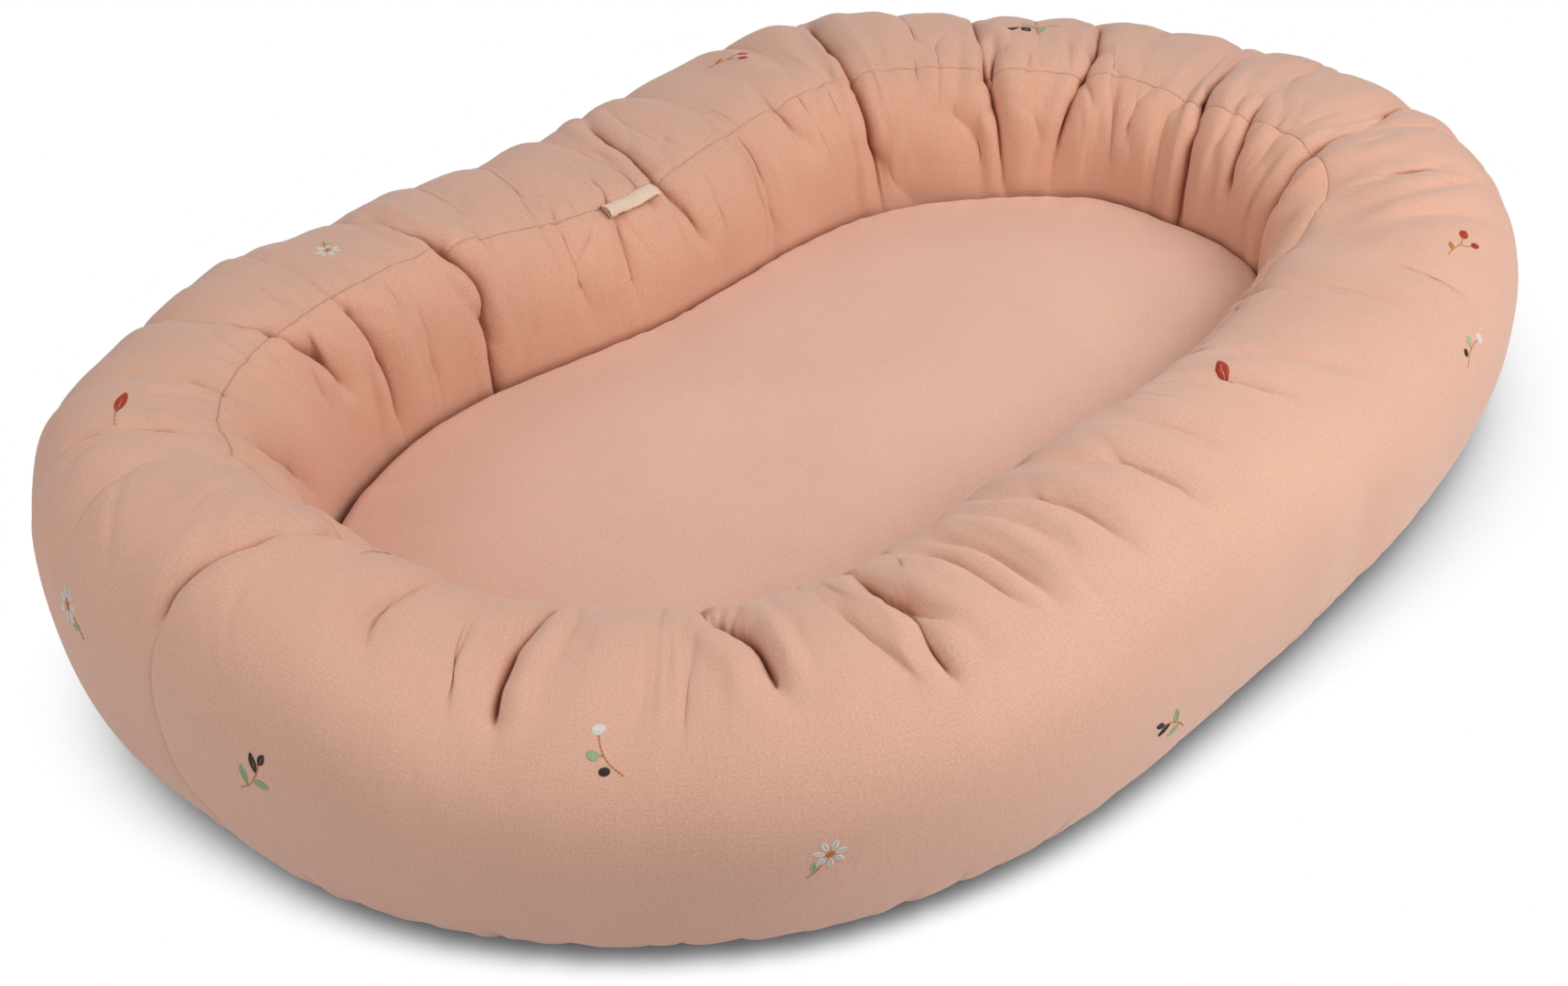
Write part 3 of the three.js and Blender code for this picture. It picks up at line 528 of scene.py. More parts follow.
def section(place, turn):
    """The tube's section before folds: distance outward from the middle line, and height."""
    across, up = np.cos(TURN * turn), np.sin(TURN * turn)
    power = 2 / TUBE_SQUARENESS
    flat = np.where(up < 0, np.where(across > 0, OUTER_FLAT_SHARE, INNER_FLAT_SHARE), 0)
    reach = np.where(turn < 0.25, 1, -1) * flat + (1 - flat) * signed_power(across, power)
    rise = (1 + signed_power(up, power)) / 2
    height = TUBE_FLOOR + (loop.height(place) - TUBE_FLOOR) * rise
    return loop.half_width(place) * reach, height


def in_space(place, distance, height):
    """Points at some distance outward from the middle line, at some height."""
    plan = loop.beside(place, distance)
    return np.concatenate([plan, np.broadcast_to(height, place.shape)[..., None]], axis=-1)


def skin(place, turn):
    """The bare skin of the tube, and the way out of it."""
    (x0, z0), (x1, z1) = (section(place, np.clip(turn + step, OUTER_HEM, INNER_HEM))
                          for step in (-NORMAL_STEP, NORMAL_STEP))
    size = np.hypot(x1 - x0, z1 - z0)
    outward = loop.outward(place) * ((z1 - z0) / size)[..., None]
    normals = np.concatenate([outward, ((x0 - x1) / size)[..., None]], axis=-1)
    return in_space(place, *section(place, turn)), normals


# Turns of the section at even steps, and their distances along its outline from the outer hem
TURNS = np.linspace(OUTER_HEM, INNER_HEM, 4001)
RUNS = run_along(np.stack(section(np.zeros_like(TURNS), TURNS), axis=-1))


def run_of(turn):
    return np.interp(turn, TURNS, RUNS)


def turn_of(run):
    return np.interp(run, RUNS, TURNS)


def seam_turn(place):
    """The long seam wavers a little along the shoulder, and every fold pulls it inward."""
    turn = SEAM_TURN + SEAM_WAVER * hills(11, 40, 1, place, np.zeros_like(place))
    turn = turn + NEAR_SEAM_DROP * window(place, NEAR_SIDE[0], 0.05, NEAR_SIDE[1], 0.05)
    for points, depth, _ in MAIN_FOLDS:
        line = np.array(sorted(points, key=lambda point: point[1]))
        if line[0, 1] < SEAM_TURN < line[-1, 1]:
            crossing = np.interp(SEAM_TURN, line[:, 1], line[:, 0])
            apart = np.abs(past(place, crossing)) * loop.length
            turn += SEAM_PULL * depth * np.exp(-apart / SEAM_PULL_REACH)
    return turn


def grid_rows():
    """Shares of the way from hem to seam and from seam to hem, with narrow rows beside the seam."""
    rows = []
    for run, count in ((run_of(SEAM_TURN), OUTER_ROWS), (RUNS[-1] - run_of(SEAM_TURN), INNER_ROWS)):
        away = np.linspace((SEAM_ROWS[-1] + 2 * MM) / run, 1, count - len(SEAM_ROWS) - 1)
        rows.append(np.concatenate([[0], SEAM_ROWS / run, away]))
    return 1 - rows[0][::-1], rows[1]


def cross_seam_place(turn):
    smooth = curve_through(CROSS_SEAM, 200)
    return np.interp(turn, smooth[:, 0], smooth[:, 1])


class Skin:
    """The bumper's skin as a grid: columns go round the loop, rows round the section."""

    def __init__(self, outer, inner, places):
        self.places = places
        seam = run_of(seam_turn(places)[:, None])
        self.run = np.concatenate([seam * outer, seam + (RUNS[-1] - seam) * inner], axis=1)
        self.share = self.run / RUNS[-1]
        self.turn = turn_of(self.run)
        bend = cross_seam_place(self.turn) - CROSS_PLACE
        near = smooth_step(1 - np.abs(places - CROSS_PLACE) / 0.04)[:, None]
        self.place = places[:, None] + bend * near * smooth_step((0.58 - self.turn) / 0.2)
        self.seam_row = len(outer) - 1
        self.bare, self.normals = skin(self.place, self.turn)
        for place, turn, along, across, height in BULGES:
            share = np.exp(-(past(self.place, place) / along) ** 2 - ((self.turn - turn) / across) ** 2)
            self.bare = self.bare + self.normals * (height * MM * share)[..., None]
        self.lift, self.grip = np.zeros(self.turn.shape), np.zeros(self.turn.shape)
        self.slide = np.zeros(self.bare.shape)

    def hills(self, seed, around, across, shift=0):
        return hills(seed, around, across, self.place + shift, self.share)

    def offset(self):
        return self.normals * self.lift[..., None] + self.slide

    def press(self, places, turns, depth, width, lips, spread, squeeze=0.8):
        """Presses a fold into the skin along a line: a narrow groove, a wide dip and soft lips."""
        line = curve_through(np.stack([places, turns], axis=-1), 24)
        ends, _ = skin(line[:, 0], line[:, 1])
        centre = line[:, 0].mean()
        margin = np.abs(line[:, 0] - centre).max() + FOLD_REACH * width / loop.length
        columns = np.nonzero(np.abs(past(self.places, centre)) < margin)[0]
        grid = self.bare[columns]
        best = np.full(grid.shape[:2], np.inf)
        along, side, nearest = np.zeros(best.shape), np.zeros(best.shape), np.zeros(grid.shape)
        for k, (a, b) in enumerate(zip(ends[:-1], ends[1:])):
            share = np.clip(((grid - a) @ (b - a)) / ((b - a) @ (b - a)), 0, 1)
            foot = a + share[..., None] * (b - a)
            gap = lengths(grid - foot)
            closer = gap < best
            best = np.where(closer, gap, best)
            nearest = np.where(closer[..., None], foot, nearest)
            along = np.where(closer, (k + share) / (len(ends) - 1), along)
            here = line[k, 0] + share * (line[k + 1, 0] - line[k, 0])
            side = np.where(closer, past(self.place[columns], here), side)
        taper = np.sqrt(np.clip(np.sin(np.pi * np.clip(along, 0.02, 0.98)), 0, 1))
        reach = best / width
        lean = reach * np.where(side > 0, *FOLD_LEAN)
        groove = GROOVE_SHARE * np.exp(-lean ** GROOVE_POWER) + DIP_SHARE * bell(reach / spread)
        groove -= lips * bell((lean - LIP_PLACE) / LIP_WIDTH)
        self.lift[columns] -= depth * taper * groove
        self.grip[columns] = np.maximum(self.grip[columns], taper * bell(HOLD_STEEPNESS * reach))
        normal = self.normals[columns]
        inward = nearest - grid
        inward -= normal * dots(inward, normal)[..., None]
        self.slide[columns] += inward * (squeeze * taper * bell(reach / SQUEEZE_WIDTH))[..., None]

    def gather(self, places, runs, *style):
        self.press(places, turn_of(runs), *style)


def spread_rows(old, new):
    """Weights that carry values from rows at some shares to rows at others, smoothly."""
    weights = np.zeros((len(new), len(old)))
    for k, share in enumerate(new):
        i = int(np.clip(np.searchsorted(old, share) - 1, 0, len(old) - 2))
        w = (share - old[i]) / (old[i + 1] - old[i])
        for step, weight in zip((-1, 0, 1, 2), spline(*np.eye(4), w)):
            weights[k, np.clip(i + step, 0, len(old) - 1)] += weight
    return weights


def pull_pair(a, b, rest, firm, yielding):
    """Moves two sets of points towards their distance at rest."""
    gap = b - a
    size = np.sqrt(dots(gap, gap)) + 1e-9
    error = size - rest
    gap *= (np.where(error > 0, firm, yielding) * error / size / 2)[..., None]
    a += gap
    b -= gap


def pull_round(points, rest, firm, yielding):
    """Along the loop, every second pair at a time."""
    pull_pair(points[0::2], points[1::2], rest[0::2], firm, yielding)
    a, b = points[1::2].copy(), ahead(points[0::2])
    pull_pair(a, b, rest[1::2], firm, yielding)
    points[1::2], points[0::2] = a, behind(b)


def pull_across(points, rest, firm, yielding):
    for first in (0, 1):
        end = first + (points.shape[1] - first) // 2 * 2
        a, b = points[:, first:end:2], points[:, first + 1:end + 1:2]
        pull_pair(a, b, rest[:, first:end:2], firm, yielding)


def pull_diagonals(points, rest, firm):
    lower, upper = slice(0, -1), slice(1, None)
    for near, far in ((lower, upper), (upper, lower)):
        gap = ahead(points)[:, far] - points[:, near]
        size = np.sqrt(dots(gap, gap)) + 1e-9
        gap *= (firm * (size - rest) / size / 2)[..., None]
        points[:, near] += gap
        points[:, far] -= behind(gap)


def settle(sheet, slack, steps):
    """Lets the slack cloth find its rest over the stuffing, held by the folds, seam and hems."""
    bare, normals = sheet.bare, sheet.normals
    target = bare + sheet.offset()
    start = 1.2 * MM * sheet.hills(41, 260, 5) + 0.8 * MM * sheet.hills(42, 130, 4)
    points = target + normals * start[..., None]
    bare_rest = lengths(ahead(bare) - bare)
    round_rest = np.maximum(lengths(ahead(target) - target), bare_rest) * (1 + slack)
    across_rest = lengths(np.diff(bare, axis=1)) * ACROSS_EASE
    diagonal_rest = np.sqrt((round_rest[:, 1:] ** 2 + round_rest[:, :-1] ** 2) / 2 + across_rest ** 2)
    along = unit(ahead(bare) - behind(bare))
    target_slide = dots(target - bare, along)
    curl = ahead(bare) + behind(bare) - 2 * bare
    fold = bare[:, 2:] + bare[:, :-2] - 2 * bare[:, 1:-1]
    fixed = np.zeros(slack.shape, dtype=bool)
    fixed[:, :2] = fixed[:, -2:] = True
    grip = (FOLD_HOLD * sheet.grip)[..., None]
    broad = np.maximum(sheet.lift * (1 - np.clip(2 * sheet.grip, 0, 1)), DEEPEST_BROAD)
    for _ in range(steps):
        off = dots(points - bare, normals) - broad
        push = SWELL + np.where(off < 0, -PUSH_OUT * off, -HOLD_BACK * off) * (1 - sheet.grip)
        points += normals * push[..., None]
        points += grip * (target - points)
        bow = ahead(points) + behind(points) - 2 * points - curl
        points += BEND * (bow - (behind(bow) + ahead(bow)) / 2)
        bow = BEND * (points[:, 2:] + points[:, :-2] - 2 * points[:, 1:-1] - fold)
        points[:, 1:-1] += bow
        points[:, 2:] -= bow / 2
        points[:, :-2] -= bow / 2
        pull_diagonals(points, diagonal_rest, SHEAR)
        pull_round(points, round_rest, *ROUND_FIRMNESS)
        pull_across(points, across_rest, *ACROSS_FIRMNESS)
        slide = dots(points - bare, along)
        short = np.minimum(ahead(slide) - slide + LEAST_ROOM * bare_rest, 0) / 2
        points += along * (short - behind(short))[..., None]
        slide = dots(points - bare, along)
        points -= along * (SLIDE_BACK * (slide - target_slide))[..., None]
        points[fixed] = target[fixed]
    return points


def press_folds(sheet, deep_style, soft_style):
    """Every fold in its style, which differs for folds deep enough to close into a crease."""
    folds = MAIN_FOLDS + WALL_FOLDS
    for k, (place, depth) in enumerate(CREST_DENTS):
        drift = 0.003 * math.sin(2.4 * k)
        line = [(place + drift * way, turn) for way, turn in zip((-1, 0, 1), CREST_TURNS)]
        folds.append((line, depth, CREST_WIDTH))
    for points, depth, width in folds:
        deepen, widen, *style = deep_style if depth > SOFT_DEPTH else soft_style
        sheet.press(*zip(*points), deepen * depth * MM, widen * width * MM, *style)


def pucker_seam(sheet):
    """Small gathers that run from the long seam into the crown and down the wall."""
    random = np.random.default_rng(5)
    for k in range(SEAM_GATHERS):
        place = (k + random.uniform(-0.4, 0.4)) / SEAM_GATHERS
        seam = run_of(seam_turn(np.array([place]))[0])
        calm = 0.35 if NEAR_SIDE[0] < place < NEAR_SIDE[1] else 1
        for longest in (-60 * MM, 95 * MM):
            length = longest * random.uniform(0.18, 1) ** 1.6
            depth = random.uniform(0.4, 1.7) * MM * calm
            width = random.uniform(1.9, 4.2) * MM
            drift = random.normal(0, 0.12) * abs(length) / loop.length
            places = place + drift * np.array([0, 0.4, 1])
            sheet.gather(places, seam + length * HALVES, depth, width, 0.35, 2)


def crease_cloth(sheet):
    """Fine slack lines across the crown and down the wall, longer and shallower than the gathers."""
    random = np.random.default_rng(17)
    for k in range(FINE_CREASES):
        place = random.uniform(0, 1)
        turn = random.triangular(0.1, 0.3, 0.56)
        near = NEAR_SIDE[0] + 0.02 < place < NEAR_SIDE[1] - 0.02
        length = random.uniform(22, 85) * MM
        depth = random.uniform(0.35, 1.25) * MM * (0.3 if near else 1)
        width = random.uniform(1.6, 3.6) * MM
        lean = random.normal(0, 0.22) * length / loop.length
        bend = random.normal(0, 0.06) * length / loop.length
        runs = np.clip(run_of(turn) + length * (HALVES - 0.5), 20 * MM, RUNS[-1] - 6 * MM)
        sheet.gather(place + np.array([-lean, bend, lean]), runs, depth, width, 0.45, 2.4, 0.5)


def gather_hem(sheet):
    """Small gathers along the outer foot, where the cover is sewn to the base."""
    random = np.random.default_rng(8)
    for k in range(HEM_GATHERS):
        place = (k + random.uniform(-0.4, 0.4)) / HEM_GATHERS
        length = random.uniform(14, 46) * MM
        drift = random.normal(0, 0.1) * length / loop.length
        sheet.gather(place + drift * HALVES, 18 * MM + length * HALVES,
                     random.uniform(0.6, 1.8) * MM, random.uniform(2.5, 5) * MM, 0.3, 2)


def soften(sheet):
    """Broad unevenness of the stuffing, and slack cloth across the crown and down the wall."""
    crown = bell((sheet.turn - 0.27) / 0.11)
    wall = window(sheet.turn, 0.3, 0.08, 0.7, 0.12)
    for height, where, *knots in ((2.2, 1, 21, 16, 5), (1.5, crown, 22, 44, 5), (1.3, wall, 23, 52, 6),
                                  (0.5, crown + wall, 24, 120, 9), (0.35, 1, 25, 70, 26)):
        sheet.lift += height * MM * where * sheet.hills(*knots)


def streak(sheet):
    """Patches of fine shallow ridges that run across the crown and down the wall."""
    where = bell((sheet.turn - 0.26) / 0.1) + 0.7 * window(sheet.turn, 0.34, 0.06, 0.62, 0.12)
    lean = 0.004 * sheet.hills(64, 30, 4)
    patches = smooth_step(0.45 + 0.9 * sheet.hills(62, 34, 4))
    ridges = sheet.hills(61, 340, 5, lean) + 0.5 * sheet.hills(63, 480, 7, lean)
    sheet.lift += STREAKS * patches * where * ridges


def seam_dip(distance, hollow):
    """How far cloth turns in beside a seam: a fine line in a soft hollow."""
    return 0.8 * MM * np.exp(-distance / (0.9 * MM)) + hollow * bell(distance / (7 * MM))


def close_seams(sheet):
    """The cloth turns in at the long seam and at the cross seam."""
    above = sheet.run[:, [sheet.seam_row]] - sheet.run
    sheet.lift -= seam_dip(np.abs(above), 0.9 * MM)
    across = np.abs(sheet.place - cross_seam_place(sheet.turn)) * loop.length
    sheet.lift -= smooth_step(above / (3 * MM)) * seam_dip(across, 0.6 * MM)


def slack_of(sheet):
    """Spare cloth along the loop: most beside the long seam and down the wall, little outside."""
    past_seam = sheet.run - run_of(SEAM_TURN)
    crown = 0.09 * bell(np.minimum(past_seam, 0) / (55 * MM))
    wall = np.where(past_seam > 0, 0.022 + 0.04 * np.exp(-past_seam / (45 * MM)), crown)
    patchy = np.clip(0.72 + 0.6 * sheet.hills(51, 34, 4), 0.15, 1.4)
    return wall * patchy + 0.05 * np.exp(-sheet.run / (30 * MM)) + 0.008


def make_skin():
    places = np.arange(COLUMNS) / COLUMNS
    slack_rows = np.linspace(0, 1, SLACK_OUTER_ROWS), np.linspace(0, 1, SLACK_INNER_ROWS + 1)[1:]
    slack = Skin(*slack_rows, places)
    soften(slack)
    press_folds(slack, *SLACK_FOLDS)
    near = round(CROSS_PLACE * COLUMNS)
    places = places.copy()
    places[near - 1:near + 2] = CROSS_PLACE + np.array([-0.9, 0, 0.9]) * MM / loop.length
    rows = grid_rows()
    sheet = Skin(*rows, places)
    sheet.cross_column = near
    drape = settle(slack, slack_of(slack), SETTLE_STEPS) - slack.bare
    old, new = (np.concatenate([outer, 1 + inner]) for outer, inner in (slack_rows, rows))
    drape = np.einsum("rs,csk->crk", spread_rows(old, new), drape)
    press_folds(sheet, *CREASES)
    crease_cloth(sheet)
    streak(sheet)
    pucker_seam(sheet)
    gather_hem(sheet)
    close_seams(sheet)
    fade = window(sheet.turn, OUTER_HEM, 0.08, INNER_HEM, 0.08)
    sheet.points = sheet.bare + drape + sheet.offset() * fade[..., None]
    sheet.points[..., 2] = np.maximum(sheet.points[..., 2], TUBE_FLOOR)
    return sheet


def new_mesh(name, points, faces, uvs):
    """A smooth closed mesh from points and faces, facing out, with a map in metres for its weave."""
    mesh = bpy.data.meshes.new(name)
    points = np.asarray(points, dtype=float)
    faces = [np.asarray(group, dtype=np.int32) for group in faces]
    uvs = [np.asarray(uv, dtype=np.float32) for uv in uvs]
    volume = sum(dots(points[group[:, 0]], np.cross(points[group[:, k]], points[group[:, k + 1]])).sum()
                 for group in faces for k in range(1, group.shape[1] - 1))
    if volume < 0:
        faces, uvs = ([group[:, ::-1] for group in groups] for groups in (faces, uvs))
    corners = np.concatenate([group.ravel() for group in faces])
    sizes = np.concatenate([np.full(len(group), group.shape[1]) for group in faces])
    mesh.vertices.add(len(points))
    mesh.vertices.foreach_set("co", points.astype(np.float32).ravel())
    mesh.loops.add(len(corners))
    mesh.loops.foreach_set("vertex_index", corners)
    mesh.polygons.add(len(sizes))
    mesh.polygons.foreach_set("loop_start", (sizes.cumsum() - sizes).astype(np.int32))
    mesh.update(calc_edges=True)
    mesh.polygons.foreach_set("use_smooth", np.ones(len(sizes), dtype=bool))
    layer = mesh.uv_layers.new(name="Weave")
    layer.data.foreach_set("uv", np.concatenate([uv.reshape(-1, 2) for uv in uvs]).ravel())
    mesh.validate()
    return add_object(name, mesh)


def add_object(name, data, place=(0, 0, 0), target=None):
    """Puts a mesh, lamp or camera into the scene, turned towards a target if it has one."""
    obj = bpy.data.objects.new(name, data)
    obj.location = place
    if target:
        obj.rotation_euler = (Vector(target) - Vector(place)).to_track_quat("-Z", "Y").to_euler()
    bpy.context.scene.collection.objects.link(obj)
    return obj


def grid_corners(columns, rows, endless=True, closed=True):
    """Columns and rows of the corners of every quad in a grid of points, and the points' numbers."""
    i, j = np.mgrid[:columns - (not endless), :rows - (not closed)].reshape(2, -1, 1)
    i, j = i + [0, 1, 1, 0], (j + [0, 0, 1, 1]) % rows
    return i, j, i % columns * rows + j


def half_tube(name, sheet, rows, middle_share):
    """One side of the stuffed tube as a closed form: its cloth, its flat foot and a hidden back."""
    place = sheet.places
    middle = middle_share * loop.half_width(place)
    heights = TUBE_FLOOR, CORE_SHARE * loop.height(place)
    foot, core = (in_space(place, middle, height) for height in heights)
    seam = sheet.points[:, sheet.seam_row] - SEAM_ALLOWANCE * sheet.normals[:, sheet.seam_row]
    hidden = [seam, core, foot] if rows.start == 0 else [foot, core, seam]
    points = np.concatenate([sheet.points[:, rows], np.stack(hidden, axis=1)], axis=1)
    u, v = (np.pad(run[:, rows], ((0, 0), (0, 3)), mode="edge")
            for run in (sheet.place * loop.length, sheet.run))
    i, j, faces = grid_corners(*points.shape[:2])
    uvs = np.stack([np.vstack([u, u[:1] + loop.length])[i, j], np.vstack([v, v[:1]])[i, j]], axis=-1)
    return new_mesh(name, points.reshape(-1, 3), [faces], [uvs])


def ring_angles():
    turns = TURN * np.arange(MATTRESS_COLUMNS) / MATTRESS_COLUMNS
    return np.arctan2(NEST_SIZE[1] * np.sin(turns), NEST_SIZE[0] * np.cos(turns))


def flat_ring(angles, reach, height):
    return np.stack([reach * np.cos(angles), reach * np.sin(angles), np.full_like(angles, height)], axis=-1)


def mattress_ring(inset, height):
    """The mattress's outline at some distance in from the wall, at even turns round the middle."""
    places = np.arange(MATTRESS_STEPS) / MATTRESS_STEPS
    line = loop.beside(places, -loop.half_width(places) - (WALL_CLEARANCE + inset))
    angles = ring_angles() % TURN
    bearing = np.arctan2(line[:, 1], line[:, 0]) % TURN
    order = np.argsort(bearing)
    return flat_ring(angles, np.interp(angles, bearing[order], lengths(line)[order], period=TURN), height)


def slot_ring(length, width, height):
    """A rectangle round the zip, with as many points as the mattress's outline."""
    angles = ring_angles()
    reach = np.maximum(np.abs(np.cos(angles)) / (length / 2), np.abs(np.sin(angles)) / (width / 2))
    return flat_ring(angles, 1 / reach, height)


def hem_ring(share, height):
    """A line under the bumper, at a share of its half width out from its middle line."""
    places = np.arange(MATTRESS_COLUMNS) / MATTRESS_COLUMNS
    return in_space(places, loop.half_width(places) * share, height)


def rounded(height, radius, side, first, last, count):
    """Rings round a quarter of the mattress's edge."""
    for angle in np.linspace(first, last, count):
        yield mattress_ring(side * (1 - math.cos(angle)), height + radius * math.sin(angle))


def waves(ring, seed, around, across, share):
    """Unevenness of a cloth along a ring at some share of the way across it."""
    angle = np.arctan2(ring[:, 1], ring[:, 0]) / TURN
    return hills(seed, around, across, angle, np.full_like(angle, share))


def unrolled(points):
    """A flat map of rings that grow outward from a middle and then turn down a side."""
    run = lengths(np.diff(points, axis=1)).cumsum(axis=1)
    start = lengths(points[:, 0, :2])[:, None]
    reach = start + np.concatenate([np.zeros((len(points), 1)), run], axis=1)
    return unit(points[:, points.shape[1] // 2, :2])[:, None] * reach[..., None]


def ring_mesh(name, rings, closed=False, sided=False):
    """A form of rings of points. Its last ring joins its first, or fans of triangles close both."""
    points = np.stack(rings, axis=1)
    columns, rows = points.shape[:2]
    flat = points.reshape(-1, 3)
    plan = (unrolled(points) if sided else points[..., :2]).reshape(-1, 2)
    faces = [grid_corners(columns, rows, closed=closed)[2]]
    if not closed:
        flat = np.vstack([flat, points[:, 0].mean(0), points[:, -1].mean(0)])
        plan = np.vstack([plan, (0, 0), (0, 0)])
        first = np.arange(columns) * rows
        last = first + rows - 1
        for middle, a, b in ((len(flat) - 2, ahead(first), first), (len(flat) - 1, last, ahead(last))):
            faces.append(np.stack([np.full(columns, middle), a, b], axis=-1))
    return new_mesh(name, flat, faces, [plan[group] for group in faces])


def pad_unevenness(points):
    """Soft unevenness of a pad's top, and small puckers where its edge turns down."""
    angle = np.arctan2(points[..., 1], points[..., 0]) / TURN
    share = np.linspace(0, 1, points.shape[1])[None, :] + np.zeros_like(angle)
    away = smooth_step(lengths(points[..., :2]) / 0.12)
    soft = 0.9 * MM * hills(31, 14, 5, angle, share) * away
    fine = 0.5 * MM * hills(32, 150, 3, angle, share) + 0.35 * MM * hills(33, 330, 2, angle, share)
    return soft + window(share, 0.62, 0.1, 1, 0.05) * fine


def make_mattress():
    """The mattress's top and side, closed underneath by a hidden face above the zip."""
    shoulder = mattress_ring(TOP_ROUND, 0)
    rings = [shoulder * share + [0, 0, MATTRESS_TOP + MATTRESS_CROWN * (1 - share ** 2.4)]
             for share in np.linspace(0, 1, 48)[1:-1]]
    rings += rounded(MATTRESS_TOP - TOP_ROUND, TOP_ROUND, TOP_ROUND, TURN / 4, 0, 12)
    side_foot = MATTRESS_FLOOR + CLOTH + UNDER_ROUND
    heights = np.linspace(MATTRESS_TOP - TOP_ROUND, side_foot, 6)[1:-1]
    rings += [mattress_ring(0, height) for height in heights]
    rings = np.stack(rings, axis=1)
    rings[..., 2] += pad_unevenness(rings)
    rings = list(np.swapaxes(rings, 0, 1))
    rings += rounded(side_foot, UNDER_ROUND, UNDER_INSET, 0, -TURN / 5, 5)
    rings.append(mattress_ring(UNDER_ROUND, HIDDEN_LEVEL))
    return ring_mesh("mattress_pad", rings, sided=True)


def make_underside():
    """The mattress's lower cloth: a rim that meets the side, a flat panel and the zip's opening."""
    rings = [mattress_ring(UNDER_INSET + inset * MM, MATTRESS_FLOOR + height * MM)
             for inset, height in ((3, 4.2), (1, 2.2), (4, 0.5))]
    edge = mattress_ring(UNDER_INSET + 9 * MM, MATTRESS_FLOOR)
    opening = slot_ring(SLOT_LENGTH, SLOT_WIDTH, MATTRESS_FLOOR)
    for share in np.linspace(0, 1, 40):
        ring = edge + (opening - edge) * share
        ring[:, 2] += 0.25 * MM * (1 + waves(ring, 35, 40, 6, share) * math.sin(math.pi * share))
        rings.append(ring)
    rings.append(slot_ring(SLOT_LENGTH - 0.4 * MM, SLOT_WIDTH - 0.4 * MM, MATTRESS_FLOOR + CLOTH / 2))
    rings.append(slot_ring(SLOT_LENGTH, SLOT_WIDTH, MATTRESS_FLOOR + CLOTH))
    half_way = (opening + edge) / 2
    rings += [half_way + [0, 0, CLOTH + 0.2 * MM], edge + [0, 0, CLOTH]]
    return ring_mesh("mattress_underside", rings, closed=True)


def make_base():
    """The base: two layers of cloth, flat under the bumper and showing in the well."""
    rings = []
    edge = hem_ring(BASE_EDGE_SHARE, 0)
    for share in np.linspace(0.02, 1, 44)[:-1]:
        ring = edge * share
        ring[:, 2] = 0.3 * MM * (1 + waves(ring, 36, 50, 8, share) * smooth_step(share / 0.3))
        rings.append(ring)
    rings += [hem_ring(BASE_EDGE_SHARE - inset, height * MM)
              for inset, height in ((0.04, 0.2), (0.01, 0.3), (0, 0.75), (0.01, 1.2))]
    rings += [hem_ring(0, BASE_THICK), hem_ring(-0.9, BASE_THICK), hem_ring(-1, LINING_TOP - 0.5 * MM)]
    well = hem_ring(-1.1, LINING_TOP)
    for share in np.linspace(1, 0.02, 26):
        ring = well * [share, share, 1]
        ring[:, 2] -= 0.25 * MM * (1 + waves(ring, 37, 60, 8, share) * smooth_step(share / 0.3))
        rings.append(ring)
    return ring_mesh("base_pad", rings)


def tube_mesh(name, points):
    """A closed form of sections one after another: sections by points of a section."""
    count, corners = points.shape[:2]
    flat = points.reshape(-1, 3)
    quads = grid_corners(count, corners, endless=False)[2][:, [0, 3, 2, 1]]
    ends = np.stack([np.arange(corners)[::-1], (count - 1) * corners + np.arange(corners)])
    return new_mesh(name, flat, [quads, ends], [flat[group][..., :2] for group in (quads, ends)])


def tape_points(low, high):
    """Sections of a thin woven tape with slightly raised edges, lying along x."""
    low, high = np.array(low), np.array(high)
    x = np.linspace(low[0], high[0], 120)[:, None]
    y, z = np.array(TAPE_SECTION).T
    y = (low[1] + high[1]) / 2 + (high[1] - low[1]) / 2 * y
    z = low[2] + (high[2] - low[2]) * z
    return np.stack(np.broadcast_arrays(x, y, z), axis=-1)


def coil_points(low, high, side):
    """Sections of a zip coil: a helix with one flattened turn every pitch."""
    turns = int((high[0] - low[0]) / COIL_PITCH)
    t = np.arange(turns * 8 + 1) / 8
    x = low[0] + COIL_WIRE / 2 + (high[0] - low[0] - COIL_WIRE) * t / turns
    y = side * (high[1] - low[1] - COIL_WIRE) / 2 * signed_power(np.cos(TURN * t), 0.8)
    z = (high[2] - low[2] - COIL_WIRE) / 2 * np.sin(TURN * t)
    line = np.stack([x, (low[1] + high[1]) / 2 + y, (low[2] + high[2]) / 2 + z], axis=-1)
    way = unit(np.gradient(line, axis=0))
    out = np.stack([np.zeros_like(x), y, z], axis=-1)
    out = unit(out - way * dots(out, way)[:, None])
    beside = np.cross(way, out)
    return np.stack([line + COIL_WIRE / 2 * (math.cos(a) * out + math.sin(a) * beside)
                     for a in TURN * np.arange(5) / 5], axis=1)


